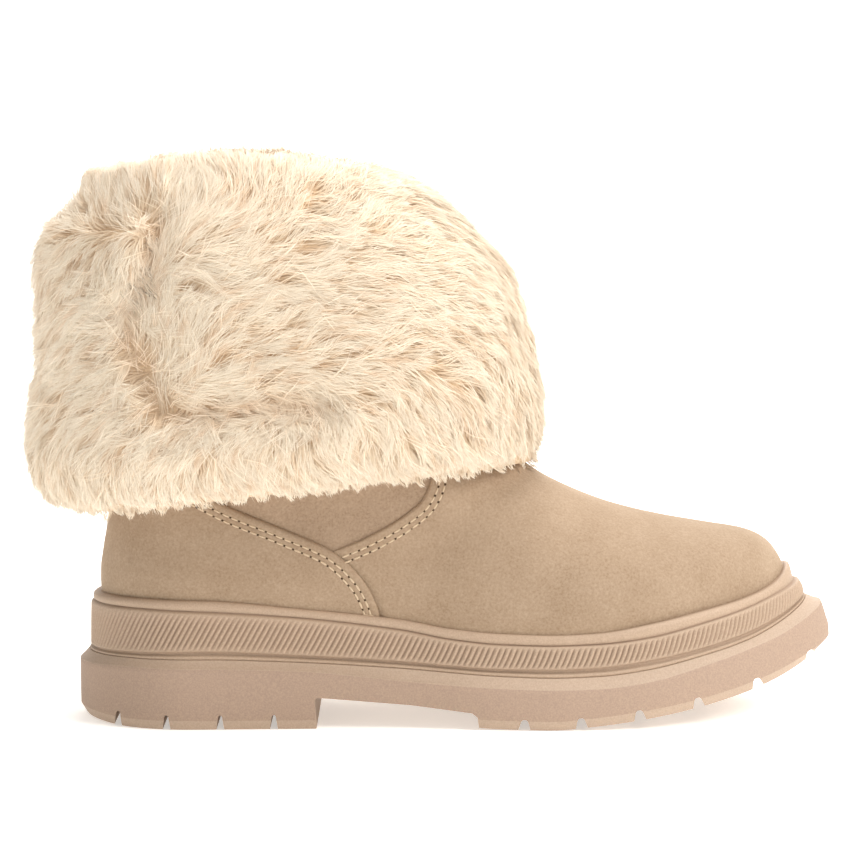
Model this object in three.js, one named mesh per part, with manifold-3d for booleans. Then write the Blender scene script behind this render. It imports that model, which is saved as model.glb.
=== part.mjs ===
// A right sheepskin boot with a turned-down fur cuff, standing empty on its lugged sole.
// Millimetres. +X points to the toe, +Y to the inner (medial) side, +Z up.
// The origin is on the floor, under the middle of the heel seat.
// A station is a distance along the boot from the very back of the outsole.

import * as THREE from 'three';
import Module from 'manifold-3d';

const wasm = await Module();
wasm.setup();

// Driving sizes

const SOLE_LENGTH = 284;
const HEEL_SEAT_STATION = 40;
const TOE_SWING = 7;
const SWING_START = 190;
const JOIN_GAP = 0.3;

const WALL = 2.0;
const PANEL = 1.1;
const SKIN_TO_WALL = PANEL + JOIN_GAP;
const INSOLE = 3.2;
const INSOLE_BEVEL = 2.2;

const ARCH_DEPTH = { rear: 11.7, front: 6.3 };
const ARCH_BREAST_LEAN = { rear: 0.8, front: 1.2 };
const ARCH_BEND = { along: 0.6, down: 0.52 };
const BELOW_FLOOR = -2;
const HEEL_BREAST = 86.2;
const FOREFOOT_BREAST = 145.6;
const TREAD_SKEW = THREE.MathUtils.degToRad(3.5);
const TREAD_EDGE_Y = -45;
const PRISM_REACH = 110;
const HEEL_CUTS = [13.5, 32, 51.7, 71.3];
const FOREFOOT_CUTS = [163, 184, 205.5, 227.5, 250.5, 272.5];
const HEEL_CUT = { depth: 5.5, top: 1.5, mouth: 3.0 };
const FOREFOOT_CUT = { depth: 4.0, top: 2.5, mouth: 4.5 };
const CUT_DROP = 3;
const CUT_MOUTH_EASE = 0.3;

const RIB_PITCH = 3.3;
const RIB_DEPTH = 0.8;
const RIB_RUN = 5.445; // how far a rib's top lies behind its foot, round the sole

const SOLE_COLUMNS = 44;
const UPPER_COLUMNS = 40;
const CUFF_COLUMNS = 36;

// Half widths of the outsole on each side of its swing line, before the ends are rounded

const PLAN = [
  { station: 0, lateral: 39.5, medial: 39.5 },
  { station: 45, lateral: 40.5, medial: 40 },
  { station: 81, lateral: 41, medial: 37 },
  { station: 118, lateral: 42.5, medial: 33.5 },
  { station: 154, lateral: 48, medial: 39.5 },
  { station: 181, lateral: 50.5, medial: 45 },
  { station: 209, lateral: 50.5, medial: 47 },
  { station: 240, lateral: 50, medial: 46 },
  { station: 284, lateral: 48, medial: 42 },
];
const SOLE_HEEL_RADIUS = 42;
const SOLE_TOE_RADIUS = 85;

// Heights of the lines that run round the sole

const HEIGHTS = [
  { station: 0, ledgeOuter: 21.8, ledgeInner: 24.8, bandBottom: 26.6, bandTop: 43.1, feather: 46.6 },
  { station: 20, ledgeOuter: 23.0, ledgeInner: 25.4, bandBottom: 27.9, bandTop: 43.6, feather: 47.3 },
  { station: 45, ledgeOuter: 22.8, ledgeInner: 25.5, bandBottom: 28.7, bandTop: 42.8, feather: 47.0 },
  { station: 81, ledgeOuter: 21.8, ledgeInner: 24.3, bandBottom: 27.1, bandTop: 40.4, feather: 43.8 },
  { station: 118, ledgeOuter: 18.2, ledgeInner: 22.0, bandBottom: 24.8, bandTop: 35.9, feather: 39.8 },
  { station: 136, ledgeOuter: 16.8, ledgeInner: 20.6, bandBottom: 23.4, bandTop: 32.6, feather: 36.6 },
  { station: 154, ledgeOuter: 15.9, ledgeInner: 19.5, bandBottom: 22.4, bandTop: 30.9, feather: 35.0 },
  { station: 172, ledgeOuter: 15.4, ledgeInner: 19.0, bandBottom: 22.3, bandTop: 30.5, feather: 34.5 },
  { station: 190, ledgeOuter: 15.8, ledgeInner: 19.5, bandBottom: 23.0, bandTop: 31.0, feather: 35.2 },
  { station: 209, ledgeOuter: 18.1, ledgeInner: 21.7, bandBottom: 25.4, bandTop: 33.1, feather: 38.0 },
  { station: 228, ledgeOuter: 22.6, ledgeInner: 25.5, bandBottom: 28.6, bandTop: 37.0, feather: 41.5 },
  { station: 248, ledgeOuter: 27.9, ledgeInner: 30.2, bandBottom: 33.2, bandTop: 41.5, feather: 45.2 },
  { station: 260, ledgeOuter: 31.4, ledgeInner: 34.6, bandBottom: 37.2, bandTop: 45.0, feather: 49.0 },
  { station: 272, ledgeOuter: 36.3, ledgeInner: 40.2, bandBottom: 42.2, bandTop: 48.3, feather: 58.3 },
  { station: 284, ledgeOuter: 41.6, ledgeInner: 47.0, bandBottom: 48.0, bandTop: 53.0, feather: 66.0 },
];

// The underside: flat under the heel and the ball, then sprung up to the toe

const TREAD = [
  { station: 0, height: 1.2 },
  { station: 6, height: 0 },
  { station: 90, height: 0 },
  { station: 144, height: 1.4 },
  { station: 158, height: 0 },
  { station: 181, height: 0 },
  { station: 190, height: 1.4 },
  { station: 208, height: 3.8 },
  { station: 231, height: 7.6 },
  { station: 254, height: 12.8 },
  { station: 272, height: 19.4 },
  { station: 284, height: 23.6 },
];

// How far each line of the sole lies inside the widest outline, at the heel, sides and toe

const INSETS = {
  underside: { heel: 2.0, side: 1.2, toe: 4.2 },
  belly: { heel: 0.1, side: 0.1, toe: 0.0 },
  ledgeOuter: { heel: 0.0, side: 0.6, toe: 3.3 },
  ledgeInner: { heel: 3.4, side: 3.2, toe: 9.2 },
  bead: { heel: 3.7, side: 3.5, toe: 9.5 },
  groove: { heel: 4.8, side: 4.6, toe: 10.6 },
  band: { heel: 3.9, side: 3.6, toe: 10.0 },
  bandTop: { heel: 4.2, side: 3.9, toe: 11.6 },
  notch: { heel: 5.2, side: 4.8, toe: 12.6 },
  lip: { heel: 5.0, side: 4.5, toe: 13.4 },
  lipTop: { heel: 7.5, side: 5.8, toe: 16.6 },
};
const BELLY_RISE = 3.5;
const BEAD_TOP_SHARE = 0.42;
const GROOVE_LOW_SHARE = 0.5;
const GROOVE_HIGH_SHARE = 0.92;
const RIB_FOOT = 0.5;
const RIB_MARGIN = 1.9;
const LIP_BELLY_SHARE = 0.45;
const LIP_SHOULDER_SHARE = 0.82;
const LIP_SHOULDER_INSET = 0.7;

// The skin of the upper, one row for each hoop from the feather line up to the shaft rim.
// A hoop leans from its back point to its front point; the low ones follow the sole's feather.
// trim is its inset from the sole plan at heel and ball, half its half width in the shaft,
// shaft the share of that half width, follow the share of the feather's own waves.

const HOOPS = [
  { back: 8.0, backZ: 46.9, front: 266.0, frontZ: 53.6, heelTrim: 6.4, ballTrim: 6.2, half: 38, shaft: 0.0,
    follow: 1.0, backRound: 35, frontRound: 76 },
  { back: 7.8, backZ: 51.5, front: 263.4, frontZ: 58.4, heelTrim: 5.6, ballTrim: 5.2, half: 38, shaft: 0.0,
    follow: 0.82, backRound: 35, frontRound: 76 },
  { back: 7.9, backZ: 56.0, front: 259.3, frontZ: 63.2, heelTrim: 5.2, ballTrim: 5.2, half: 38, shaft: 0.05,
    follow: 0.62, backRound: 35, frontRound: 76 },
  { back: 8.5, backZ: 60.5, front: 251.6, frontZ: 67.0, heelTrim: 5.2, ballTrim: 6.4, half: 38, shaft: 0.12,
    follow: 0.42, backRound: 35, frontRound: 74 },
  { back: 9.2, backZ: 65.0, front: 236.3, frontZ: 69.9, heelTrim: 5.4, ballTrim: 9.0, half: 38, shaft: 0.22,
    follow: 0.24, backRound: 35, frontRound: 70 },
  { back: 10.0, backZ: 69.5, front: 219.0, frontZ: 73.1, heelTrim: 5.6, ballTrim: 12.5, half: 38, shaft: 0.37,
    follow: 0.1, backRound: 35, frontRound: 66 },
  { back: 10.8, backZ: 75.0, front: 201.9, frontZ: 77.3, heelTrim: 5.6, ballTrim: 16.5, half: 38, shaft: 0.56,
    follow: 0, backRound: 36, frontRound: 62 },
  { back: 11.6, backZ: 81.5, front: 186.0, frontZ: 83.2, heelTrim: 5.6, ballTrim: 20.0, half: 38.5,
    shaft: 0.76, follow: 0, backRound: 37, frontRound: 58 },
  { back: 12.4, backZ: 88.0, front: 171.4, frontZ: 90.6, heelTrim: 5.5, ballTrim: 22.0, half: 39, shaft: 0.9,
    follow: 0, backRound: 39, frontRound: 54 },
  { back: 13.2, backZ: 98.0, front: 159.0, frontZ: 101.0, heelTrim: 5.0, ballTrim: 22.0, half: 40, shaft: 1,
    follow: 0, backRound: 43, frontRound: 52 },
  { back: 14.5, backZ: 119.0, front: 146.0, frontZ: 121.0, heelTrim: 5.0, ballTrim: 22.0, half: 41, shaft: 1,
    follow: 0, backRound: 48, frontRound: 52 },
  { back: 16.0, backZ: 148.0, front: 137.0, frontZ: 149.0, heelTrim: 5.0, ballTrim: 22.0, half: 42, shaft: 1,
    follow: 0, backRound: 54, frontRound: 55 },
  { back: 18.0, backZ: 184.0, front: 131.0, frontZ: 183.0, heelTrim: 5.0, ballTrim: 22.0, half: 43, shaft: 1,
    follow: 0, backRound: 56, frontRound: 56 },
];
const TOP_HOOP = HOOPS.length - 1;
const HOOP_LIFT_POWER = 6;
const TRIM_CHANGE = { start: 60, end: 170 };

// Edges of the two overlaid panels, drawn in the side view as station and height

const QUARTER_EDGE = [
  [38, 91], [56.8, 81], [75.4, 73.2], [93.9, 64.5], [101.5, 57.8], [107, 50.4], [110.6, 41.2], [112, 33],
];
const VAMP_EDGE = [[93.9, 64.9], [107, 70.4], [119.8, 77.7], [126, 83.2], [129.2, 90], [130.6, 97]];
const QUARTER_EDGE_STEPS = 14;
const VAMP_EDGE_STEPS = 12;
const QUARTER_TOP = 94;
const QUARTER_TOP_START = 20;
const PANEL_FOOT = 15;
const PANEL_HOOPS = [0, 1, 2, 3, 4, 5, 6, 7, 8, 9, 9.4];

// The fur cuff's outer and inner faces, one row for each hoop, from its hem round to its lining

const CUFF_HOOPS = [
  { back: 3.0, backZ: 76.0, front: 171.4, frontZ: 95.0, half: 50, arch: 2.5 },
  { back: -8.0, backZ: 79.5, front: 172.6, frontZ: 100.0, half: 62, arch: 1.5 },
  { back: -15.5, backZ: 88.0, front: 173.4, frontZ: 108.0, half: 69, arch: 0 },
  { back: -19.0, backZ: 100.0, front: 173.6, frontZ: 117.0, half: 71.5, arch: 0 },
  { back: -17.8, backZ: 114.0, front: 172.2, frontZ: 127.0, half: 72, arch: 0 },
  { back: -15.4, backZ: 131.0, front: 169.6, frontZ: 140.0, half: 71.5, arch: 0 },
  { back: -14.6, backZ: 150.0, front: 165.8, frontZ: 154.0, half: 70, arch: 0 },
  { back: -15.4, backZ: 167.0, front: 161.5, frontZ: 166.0, half: 67.5, arch: 1 },
  { back: -13.5, backZ: 179.0, front: 153.0, frontZ: 176.0, half: 64, arch: 3 },
  { back: -5.5, backZ: 186.5, front: 143.5, frontZ: 185.5, half: 59, arch: 6 },
  { back: 1.0, backZ: 195.0, front: 132.0, frontZ: 195.0, half: 53, arch: 8 },
  { back: 5.5, backZ: 202.5, front: 118.0, frontZ: 202.0, half: 45.5, arch: 8 },
  { back: 16.0, backZ: 201.5, front: 108.0, frontZ: 200.5, half: 38, arch: 6 },
  { back: 25.5, backZ: 191.0, front: 106.0, frontZ: 190.0, half: 33, arch: 3 },
  { back: 28.0, backZ: 172.0, front: 116.0, frontZ: 171.0, half: 32.5, arch: 0 },
  { back: 25.5, backZ: 154.0, front: 126.0, frontZ: 153.0, half: 34.5, arch: 0 },
];
const CUFF_ROUND = { back: 0.42, front: 0.47 };
const CUFF_CLEARANCE = 0.8;
const SHAFT_CLEARANCE = 0.7;
const LINING_HOOP = 11.05;
const HEM_HOOP = 8.45;
const PANEL_CLEAR_HOOP = 9.45;
const CUFF_STEP_HOOPS = [11, 10, 9.55];
const HEM_CLEAR_HOOPS = [4, 5, 6, 7, 8, HEM_HOOP, 9, 9.3];
const CUFF_OUTER_HOOPS = 12;

// Where the turned-down flap laps over itself on the outer side, as station and height

const LAP_LINE = [[35, 186], [28, 168], [24, 154], [30, 130], [40, 119.5], [62, 119.5], [84, 121]];
const LAP = { trough: 6, troughWidth: 7, roll: 4, rollOffset: 13, rollWidth: 9 };

// Locks of fur fused on the cuff

const LOCK_COUNT = 66;
const FIRST_LOCK_ROW = 0.1;
const LAST_LOCK_ROW = 11.6;
const LOCK_ROOT_ROWS = { low: 0.7, high: 10.8 };
const LOCK = { length: 29, width: 15, thickness: 4.4, sink: 0.8, lift: 4.6 };
const LOCK_SHARES = { behindRoot: 0.12, widest: 0.32, ridge: 0.42 };
const LOCK_SCALE = { small: 0.8, large: 1.15 };
const GOLDEN_SHARE = (Math.sqrt(5) - 1) / 2;
const SCALE_STEP = 0.7548776662; // spreads the sizes evenly, as the golden share spreads the turns

// Where the combing changes, as heights and stations, and how the hair leans there

const COMB = {
  hem: { low: 96, high: 128, keepForward: 0.25, down: 1.1 },
  crown: { low: 172, high: 200, keepForward: 0.4, up: 0.9 },
  lateralFlap: { start: 24, end: 44 },
  medialFlap: { start: 0, end: 30 },
  field: { forward: 1, up: -0.12 },
  flap: { forward: -0.9, up: 0.15 },
};

// Small helpers

const mix = (a, b, t) => a + (b - a) * t;
const clamp01 = (t) => Math.min(Math.max(t, 0), 1);
const smoothstep = (a, b, x) => {
  const t = clamp01((x - a) / (b - a));
  return t * t * (3 - 2 * t);
};
const bell = (x) => Math.exp(-x * x);

// Reads a column of a table at a station, along a smooth curve that never overshoots its rows
function read(table, column, station) {
  const x = Math.min(Math.max(station, table[0].station), table[table.length - 1].station);
  let i = 0;
  while (i < table.length - 2 && x > table[i + 1].station) i += 1;
  const slope = (k) => (table[k + 1][column] - table[k][column]) / (table[k + 1].station - table[k].station);
  const tangent = (k) => {
    if (k === 0) return slope(0);
    if (k === table.length - 1) return slope(k - 1);
    const before = slope(k - 1);
    const after = slope(k);
    return before * after <= 0 ? 0 : (2 * before * after) / (before + after);
  };
  const width = table[i + 1].station - table[i].station;
  const t = (x - table[i].station) / width;
  const start = table[i][column];
  const end = table[i + 1][column];
  const rise = width * tangent(i);
  const fall = width * tangent(i + 1);
  return start * (1 + 2 * t) * (1 - t) ** 2 + rise * t * (1 - t) ** 2
    + end * t * t * (3 - 2 * t) + fall * t * t * (t - 1);
}

// A hoop between two rows of a table, by its row number
function hoopAt(table, row) {
  const low = Math.max(Math.min(Math.floor(row), table.length - 2), 0);
  const share = row - low;
  const hoop = {};
  for (const key of Object.keys(table[low])) hoop[key] = mix(table[low][key], table[low + 1][key], share);
  return hoop;
}

const swing = (station) => TOE_SWING * smoothstep(SWING_START, SOLE_LENGTH, station);

// Rounds the ends of a closed outline: 0 at either end, 1 along the middle
function endRound(station, back, front, backRadius, frontRadius) {
  const fromBack = clamp01((station - back) / backRadius);
  const fromFront = clamp01((front - station) / frontRadius);
  return Math.sqrt(1 - (1 - fromBack) ** 2) * Math.sqrt(1 - (1 - fromFront) ** 2);
}

// A turn runs from 0 at the heel along the lateral side to 0.5 at the toe and back to 1
const alongOf = (turn) => (1 - Math.cos(turn * 2 * Math.PI)) / 2;
const isLateral = (turn) => turn <= 0.5;
const turns = (count) => Array.from({ length: count }, (_, i) => i / count);
const point = (station, y, z) => new THREE.Vector3(station - HEEL_SEAT_STATION, y, z);

// Sole lines

function solePoint(turn, inset, heightOf) {
  const back = inset.heel;
  const front = SOLE_LENGTH - inset.toe;
  const station = mix(back, front, alongOf(turn));
  const side = isLateral(turn) ? 'lateral' : 'medial';
  const half = read(PLAN, side, station) - inset.side;
  const round = endRound(station, back, front, SOLE_HEEL_RADIUS - inset.heel, SOLE_TOE_RADIUS - inset.toe);
  const y = swing(station) + (side === 'lateral' ? -1 : 1) * half * round;
  return point(station, y, heightOf(station));
}

const soleRing = (inset, heightOf, columns = SOLE_COLUMNS) => turns(columns).map((turn) => ({
  turn,
  at: solePoint(turn, inset, heightOf),
}));

const height = (line, rise = 0) => (station) => read(HEIGHTS, line, station) + rise;
const between = (low, high, share) => (station) => (
  mix(read(HEIGHTS, low, station), read(HEIGHTS, high, station), share)
);

// Skin of the upper

function skinPoint(turn, row) {
  const hoop = hoopAt(HOOPS, row);
  const along = alongOf(turn);
  const station = mix(hoop.back, hoop.front, along);
  const side = isLateral(turn) ? 'lateral' : 'medial';
  const trim = mix(hoop.heelTrim, hoop.ballTrim, smoothstep(TRIM_CHANGE.start, TRIM_CHANGE.end, station));
  const half = mix(read(PLAN, side, station) - trim, hoop.half, hoop.shaft);
  const round = endRound(station, hoop.back, hoop.front, hoop.backRound, hoop.frontRound);
  const y = swing(station) + (side === 'lateral' ? -1 : 1) * half * round;
  const lift = along ** HOOP_LIFT_POWER;
  const level = mix(hoop.backZ, hoop.frontZ, lift);
  const feather = (where) => read(HEIGHTS, 'feather', where);
  const wave = feather(station) - mix(feather(hoop.back), feather(hoop.front), lift);
  return point(station, y, level + hoop.follow * wave);
}

// A point on the skin or moved off it. The lowest and highest hoops move level, so the rims stay flat,
// and the lowest one stays on the feather, so it stands on the midsole
function offsetPoint(turn, row, offset) {
  const stepTurn = 0.004;
  const stepRow = 0.05;
  const low = Math.max(row - stepRow, 0);
  const high = Math.min(row + stepRow, TOP_HOOP);
  const round = skinPoint((turn + stepTurn) % 1, row).sub(skinPoint((turn + 1 - stepTurn) % 1, row));
  const rise = skinPoint(turn, high).sub(skinPoint(turn, low));
  const normal = round.cross(rise);
  if (row < stepRow || row > TOP_HOOP - stepRow) normal.z = 0;
  const at = skinPoint(turn, row).addScaledVector(normal.normalize(), offset);
  if (row === 0) at.z = read(HEIGHTS, 'feather', at.x + HEEL_SEAT_STATION);
  return at;
}

const skinRing = (row, offset, columns = UPPER_COLUMNS, rise = 0) => turns(columns).map((turn) => {
  const at = offsetPoint(turn, row, offset);
  at.z += rise;
  return { turn, at };
});

// Solids from rings

// Joins two rings of any counts into a band of triangles
function bridge(lower, upper, triangles) {
  const turnOf = (ring, k) => (k < ring.length ? ring[k].turn : 1 + ring[k - ring.length].turn);
  let i = 0;
  let j = 0;
  while (i < lower.length || j < upper.length) {
    const a = lower[i % lower.length].index;
    const b = upper[j % upper.length].index;
    const stepLower = j >= upper.length
      || (i < lower.length && turnOf(lower, i + 1) - upper[0].turn <= turnOf(upper, j + 1) - upper[0].turn);
    if (stepLower) {
      i += 1;
      triangles.push(a, lower[i % lower.length].index, b);
    } else {
      j += 1;
      triangles.push(a, upper[j % upper.length].index, b);
    }
  }
}

// Closes a ring with a strip that runs straight across from one side to the other
function capRing(ring, facesUp, triangles) {
  const count = ring.length;
  const add = (a, b, c) => triangles.push(...(facesUp ? [a, b, c] : [a, c, b]));
  for (let i = 0; i < count / 2; i += 1) {
    const near = ring[i].index;
    const nearNext = ring[i + 1].index;
    const far = ring[(count - i) % count].index;
    const farNext = ring[count - i - 1].index;
    if (near !== far) add(near, nearNext, far);
    if (nearNext !== farNext) add(nearNext, farNext, far);
  }
}

function numbered(rings, positions) {
  for (const ring of rings) {
    for (const entry of ring) {
      entry.index = positions.length / 3;
      positions.push(entry.at.x, entry.at.y, entry.at.z);
    }
  }
}

// A closed body from rings that go up
function stackOf(rings) {
  const positions = [];
  const triangles = [];
  numbered(rings, positions);
  capRing(rings[0], false, triangles);
  for (let k = 0; k + 1 < rings.length; k += 1) bridge(rings[k], rings[k + 1], triangles);
  capRing(rings[rings.length - 1], true, triangles);
  return { positions, triangles };
}

// A closed wall from rings that go up outside and come down inside
function sleeveOf(rings) {
  const positions = [];
  const triangles = [];
  numbered(rings, positions);
  for (let k = 0; k < rings.length; k += 1) bridge(rings[k], rings[(k + 1) % rings.length], triangles);
  return { positions, triangles };
}

// Joins and cuts

const toSolid = ({ positions, triangles }) => new wasm.Manifold(new wasm.Mesh({
  numProp: 3,
  vertProperties: new Float32Array(positions),
  triVerts: new Uint32Array(triangles),
}));

function toGeometry(body) {
  const mesh = body.getMesh ? body.getMesh() : null;
  const geometry = new THREE.BufferGeometry();
  const positions = mesh ? mesh.vertProperties : new Float32Array(body.positions);
  const triangles = mesh ? mesh.triVerts : body.triangles;
  geometry.setAttribute('position', new THREE.BufferAttribute(new Float32Array(positions), 3));
  geometry.setIndex(Array.from(triangles));
  geometry.computeVertexNormals();
  return geometry;
}

// A prism right through the boot, from an outline in the side view
function sidePrism(outline, skew = 0, pivotY = 0) {
  const flat = outline.map(([station, z]) => new THREE.Vector2(station - HEEL_SEAT_STATION, z));
  if (THREE.ShapeUtils.isClockWise(flat)) flat.reverse();
  const faces = THREE.ShapeUtils.triangulateShape(flat, []);
  const positions = [];
  const triangles = [];
  const turnBy = Math.tan(skew);
  for (const y of [-PRISM_REACH, PRISM_REACH]) {
    for (const corner of flat) positions.push(corner.x + (y - pivotY) * turnBy, y, corner.y);
  }
  const count = flat.length;
  for (const [a, b, c] of faces) {
    triangles.push(a, b, c);
    triangles.push(a + count, c + count, b + count);
  }
  for (let i = 0; i < count; i += 1) {
    const next = (i + 1) % count;
    triangles.push(i, i + count, next);
    triangles.push(next, i + count, next + count);
  }
  return toSolid({ positions, triangles });
}

const curved = (corners, steps) => new THREE.SplineCurve(corners.map(([x, y]) => new THREE.Vector2(x, y)))
  .getPoints(steps).map((corner) => [corner.x, corner.y]);

// Outsole: heel, arch, ball and toe spring, with the cuts between its lugs

function treadCut(station, size) {
  const floor = read(TREAD, 'height', station);
  const spring = read(TREAD, 'height', station + 1) - floor;
  const corner = (across, up) => [station + across - up * spring, floor + up + across * spring];
  return sidePrism([
    corner(-size.mouth / 2 - CUT_MOUTH_EASE, -CUT_DROP),
    corner(size.mouth / 2 + CUT_MOUTH_EASE, -CUT_DROP),
    corner(size.top / 2, size.depth),
    corner(-size.top / 2, size.depth),
  ], TREAD_SKEW, TREAD_EDGE_Y);
}

function outsoleSolid() {
  const tread = (rise) => (station) => read(TREAD, 'height', station) + rise;
  let body = toSolid(stackOf([
    soleRing(INSETS.underside, tread(0)),
    soleRing(INSETS.belly, tread(BELLY_RISE)),
    soleRing(INSETS.ledgeOuter, height('ledgeOuter')),
    soleRing(INSETS.ledgeInner, height('ledgeInner')),
  ]));
  const archSpan = FOREFOOT_BREAST - HEEL_BREAST;
  body = body.subtract(sidePrism([
    [HEEL_BREAST + ARCH_BREAST_LEAN.rear, BELOW_FLOOR],
    [FOREFOOT_BREAST + ARCH_BREAST_LEAN.front, BELOW_FLOOR],
    [FOREFOOT_BREAST, ARCH_DEPTH.front],
    [HEEL_BREAST + archSpan * ARCH_BEND.along, mix(ARCH_DEPTH.rear, ARCH_DEPTH.front, ARCH_BEND.down)],
    [HEEL_BREAST, ARCH_DEPTH.rear],
  ], TREAD_SKEW, TREAD_EDGE_Y));
  for (const station of HEEL_CUTS) body = body.subtract(treadCut(station, HEEL_CUT));
  for (const station of FOREFOOT_CUTS) body = body.subtract(treadCut(station, FOREFOOT_CUT));
  return body;
}

// Midsole: a bead and groove, a band of slanted ribs, and the lip that the upper stands in

// Turns at equal distances round the band
function ribTurns(shift) {
  const samples = 720;
  const lengths = [0];
  let last = solePoint(0, INSETS.band, height('bandBottom'));
  for (let i = 1; i <= samples; i += 1) {
    const next = solePoint(i / samples, INSETS.band, height('bandBottom'));
    lengths.push(lengths[i - 1] + next.distanceTo(last));
    last = next;
  }
  const total = lengths[samples];
  const count = Math.round(total / RIB_PITCH) * 2;
  let k = 0;
  return Array.from({ length: count }, (_, i) => {
    const distance = (i * total) / count + shift;
    while (k < samples - 1 && lengths[k + 1] < distance) k += 1;
    const share = (distance - lengths[k]) / (lengths[k + 1] - lengths[k]);
    return { turn: Math.min((k + share) / samples, 1), crest: i % 2 === 0 };
  });
}

function ribRing(inset, heightOf, shift) {
  return ribTurns(shift).map(({ turn, crest }) => {
    const depth = crest ? 0 : RIB_DEPTH;
    const edge = { heel: inset.heel + depth, side: inset.side + depth, toe: inset.toe + depth };
    return { turn, at: solePoint(turn, edge, heightOf) };
  });
}

function midsoleBody() {
  const shoulder = {
    heel: INSETS.lip.heel + LIP_SHOULDER_INSET,
    side: INSETS.lip.side + LIP_SHOULDER_INSET / 2,
    toe: INSETS.lip.toe + LIP_SHOULDER_INSET * 2,
  };
  return stackOf([
    soleRing(INSETS.bead, height('ledgeInner', JOIN_GAP)),
    soleRing(INSETS.bead, between('ledgeInner', 'bandBottom', BEAD_TOP_SHARE)),
    soleRing(INSETS.groove, between('ledgeInner', 'bandBottom', GROOVE_LOW_SHARE)),
    soleRing(INSETS.groove, between('ledgeInner', 'bandBottom', GROOVE_HIGH_SHARE)),
    soleRing(INSETS.band, height('bandBottom')),
    ribRing(INSETS.band, height('bandBottom', RIB_FOOT), 0),
    ribRing(INSETS.bandTop, height('bandTop', -RIB_MARGIN), RIB_RUN),
    soleRing(INSETS.bandTop, height('bandTop', -JOIN_GAP)),
    soleRing(INSETS.notch, height('bandTop')),
    soleRing(INSETS.lip, between('bandTop', 'feather', LIP_BELLY_SHARE)),
    soleRing(shoulder, between('bandTop', 'feather', LIP_SHOULDER_SHARE)),
    soleRing(INSETS.lipTop, height('feather', -JOIN_GAP)),
  ]);
}

// Insole: the footbed that lies inside the upper

function insoleBody() {
  const inside = SKIN_TO_WALL + WALL + JOIN_GAP * 2;
  return stackOf([
    skinRing(0, -inside),
    skinRing(0, -inside - INSOLE_BEVEL, UPPER_COLUMNS, INSOLE),
  ]);
}

// Upper: one hollow wall from the feather line to the shaft rim

function upperBody() {
  const rows = HOOPS.map((_, row) => row);
  const outside = rows.map((row) => skinRing(row, -SKIN_TO_WALL));
  const inside = [...rows].reverse().map((row) => skinRing(row, -SKIN_TO_WALL - WALL));
  return sleeveOf([...outside, ...inside]);
}

// Panels: cut from a skin one panel thick that lies over the upper

function panelSkin() {
  const outer = toSolid(stackOf(PANEL_HOOPS.map((row) => skinRing(row, 0))));
  const innerRings = PANEL_HOOPS.map((row) => skinRing(row, -PANEL));
  const below = skinRing(0, -PANEL, UPPER_COLUMNS, -PANEL_FOOT);
  const above = skinRing(PANEL_HOOPS[PANEL_HOOPS.length - 1], -PANEL, UPPER_COLUMNS, PANEL_FOOT);
  const inner = toSolid(stackOf([below, ...innerRings, above]));
  return outer.subtract(inner);
}

const quarterOutline = (grow) => [
  ...curved(QUARTER_EDGE, QUARTER_EDGE_STEPS).map(([station, z]) => [station + grow, z + grow]),
  [QUARTER_EDGE[QUARTER_EDGE.length - 1][0] + grow, PANEL_FOOT],
  [-HEEL_SEAT_STATION, PANEL_FOOT],
  [-HEEL_SEAT_STATION, QUARTER_TOP + grow],
  [QUARTER_TOP_START, QUARTER_TOP + grow],
];

const vampOutline = () => [
  ...curved(VAMP_EDGE, VAMP_EDGE_STEPS),
  [SOLE_LENGTH + HEEL_SEAT_STATION, VAMP_EDGE[VAMP_EDGE.length - 1][1]],
  [SOLE_LENGTH + HEEL_SEAT_STATION, PANEL_FOOT],
  [VAMP_EDGE[0][0], PANEL_FOOT],
];

// Fur cuff: a sleeve that hangs outside the shaft, rolls over its rim and lines its mouth

function lapShape(station, z) {
  let nearest = Infinity;
  let sign = 1;
  for (let k = 0; k + 1 < LAP_LINE.length; k += 1) {
    const [ax, az] = LAP_LINE[k];
    const [bx, bz] = LAP_LINE[k + 1];
    const length2 = (bx - ax) ** 2 + (bz - az) ** 2;
    const share = clamp01(((station - ax) * (bx - ax) + (z - az) * (bz - az)) / length2);
    const dx = station - mix(ax, bx, share);
    const dz = z - mix(az, bz, share);
    const distance = Math.hypot(dx, dz);
    if (distance < nearest) {
      nearest = distance;
      sign = (bx - ax) * dz - (bz - az) * dx > 0 ? 1 : -1;
    }
  }
  const outward = -sign * nearest;
  const roll = LAP.roll * bell((outward - LAP.rollOffset) / LAP.rollWidth);
  return roll - LAP.trough * bell(outward / LAP.troughWidth);
}

function cuffPoint(turn, row) {
  const hoop = hoopAt(CUFF_HOOPS, row);
  const along = alongOf(turn);
  const station = mix(hoop.back, hoop.front, along);
  const length = hoop.front - hoop.back;
  const round = endRound(station, hoop.back, hoop.front, length * CUFF_ROUND.back, length * CUFF_ROUND.front);
  const z = mix(hoop.backZ, hoop.frontZ, along) + hoop.arch * Math.sin(Math.PI * along);
  const outer = row < CUFF_OUTER_HOOPS;
  const lap = outer && isLateral(turn) ? lapShape(station, z) * round : 0;
  const half = hoop.half * round + lap;
  return point(station, isLateral(turn) ? -half : half, z);
}

const cuffRing = (row) => turns(CUFF_COLUMNS).map((turn) => ({ turn, at: cuffPoint(turn, row) }));

function cuffNormal(turn, row) {
  const stepTurn = 0.01;
  const stepRow = 0.25;
  const round = cuffPoint((turn + stepTurn) % 1, row).sub(cuffPoint((turn + 1 - stepTurn) % 1, row));
  const rise = cuffPoint(turn, row + stepRow).sub(cuffPoint(turn, row - stepRow));
  return round.cross(rise).normalize();
}

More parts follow.
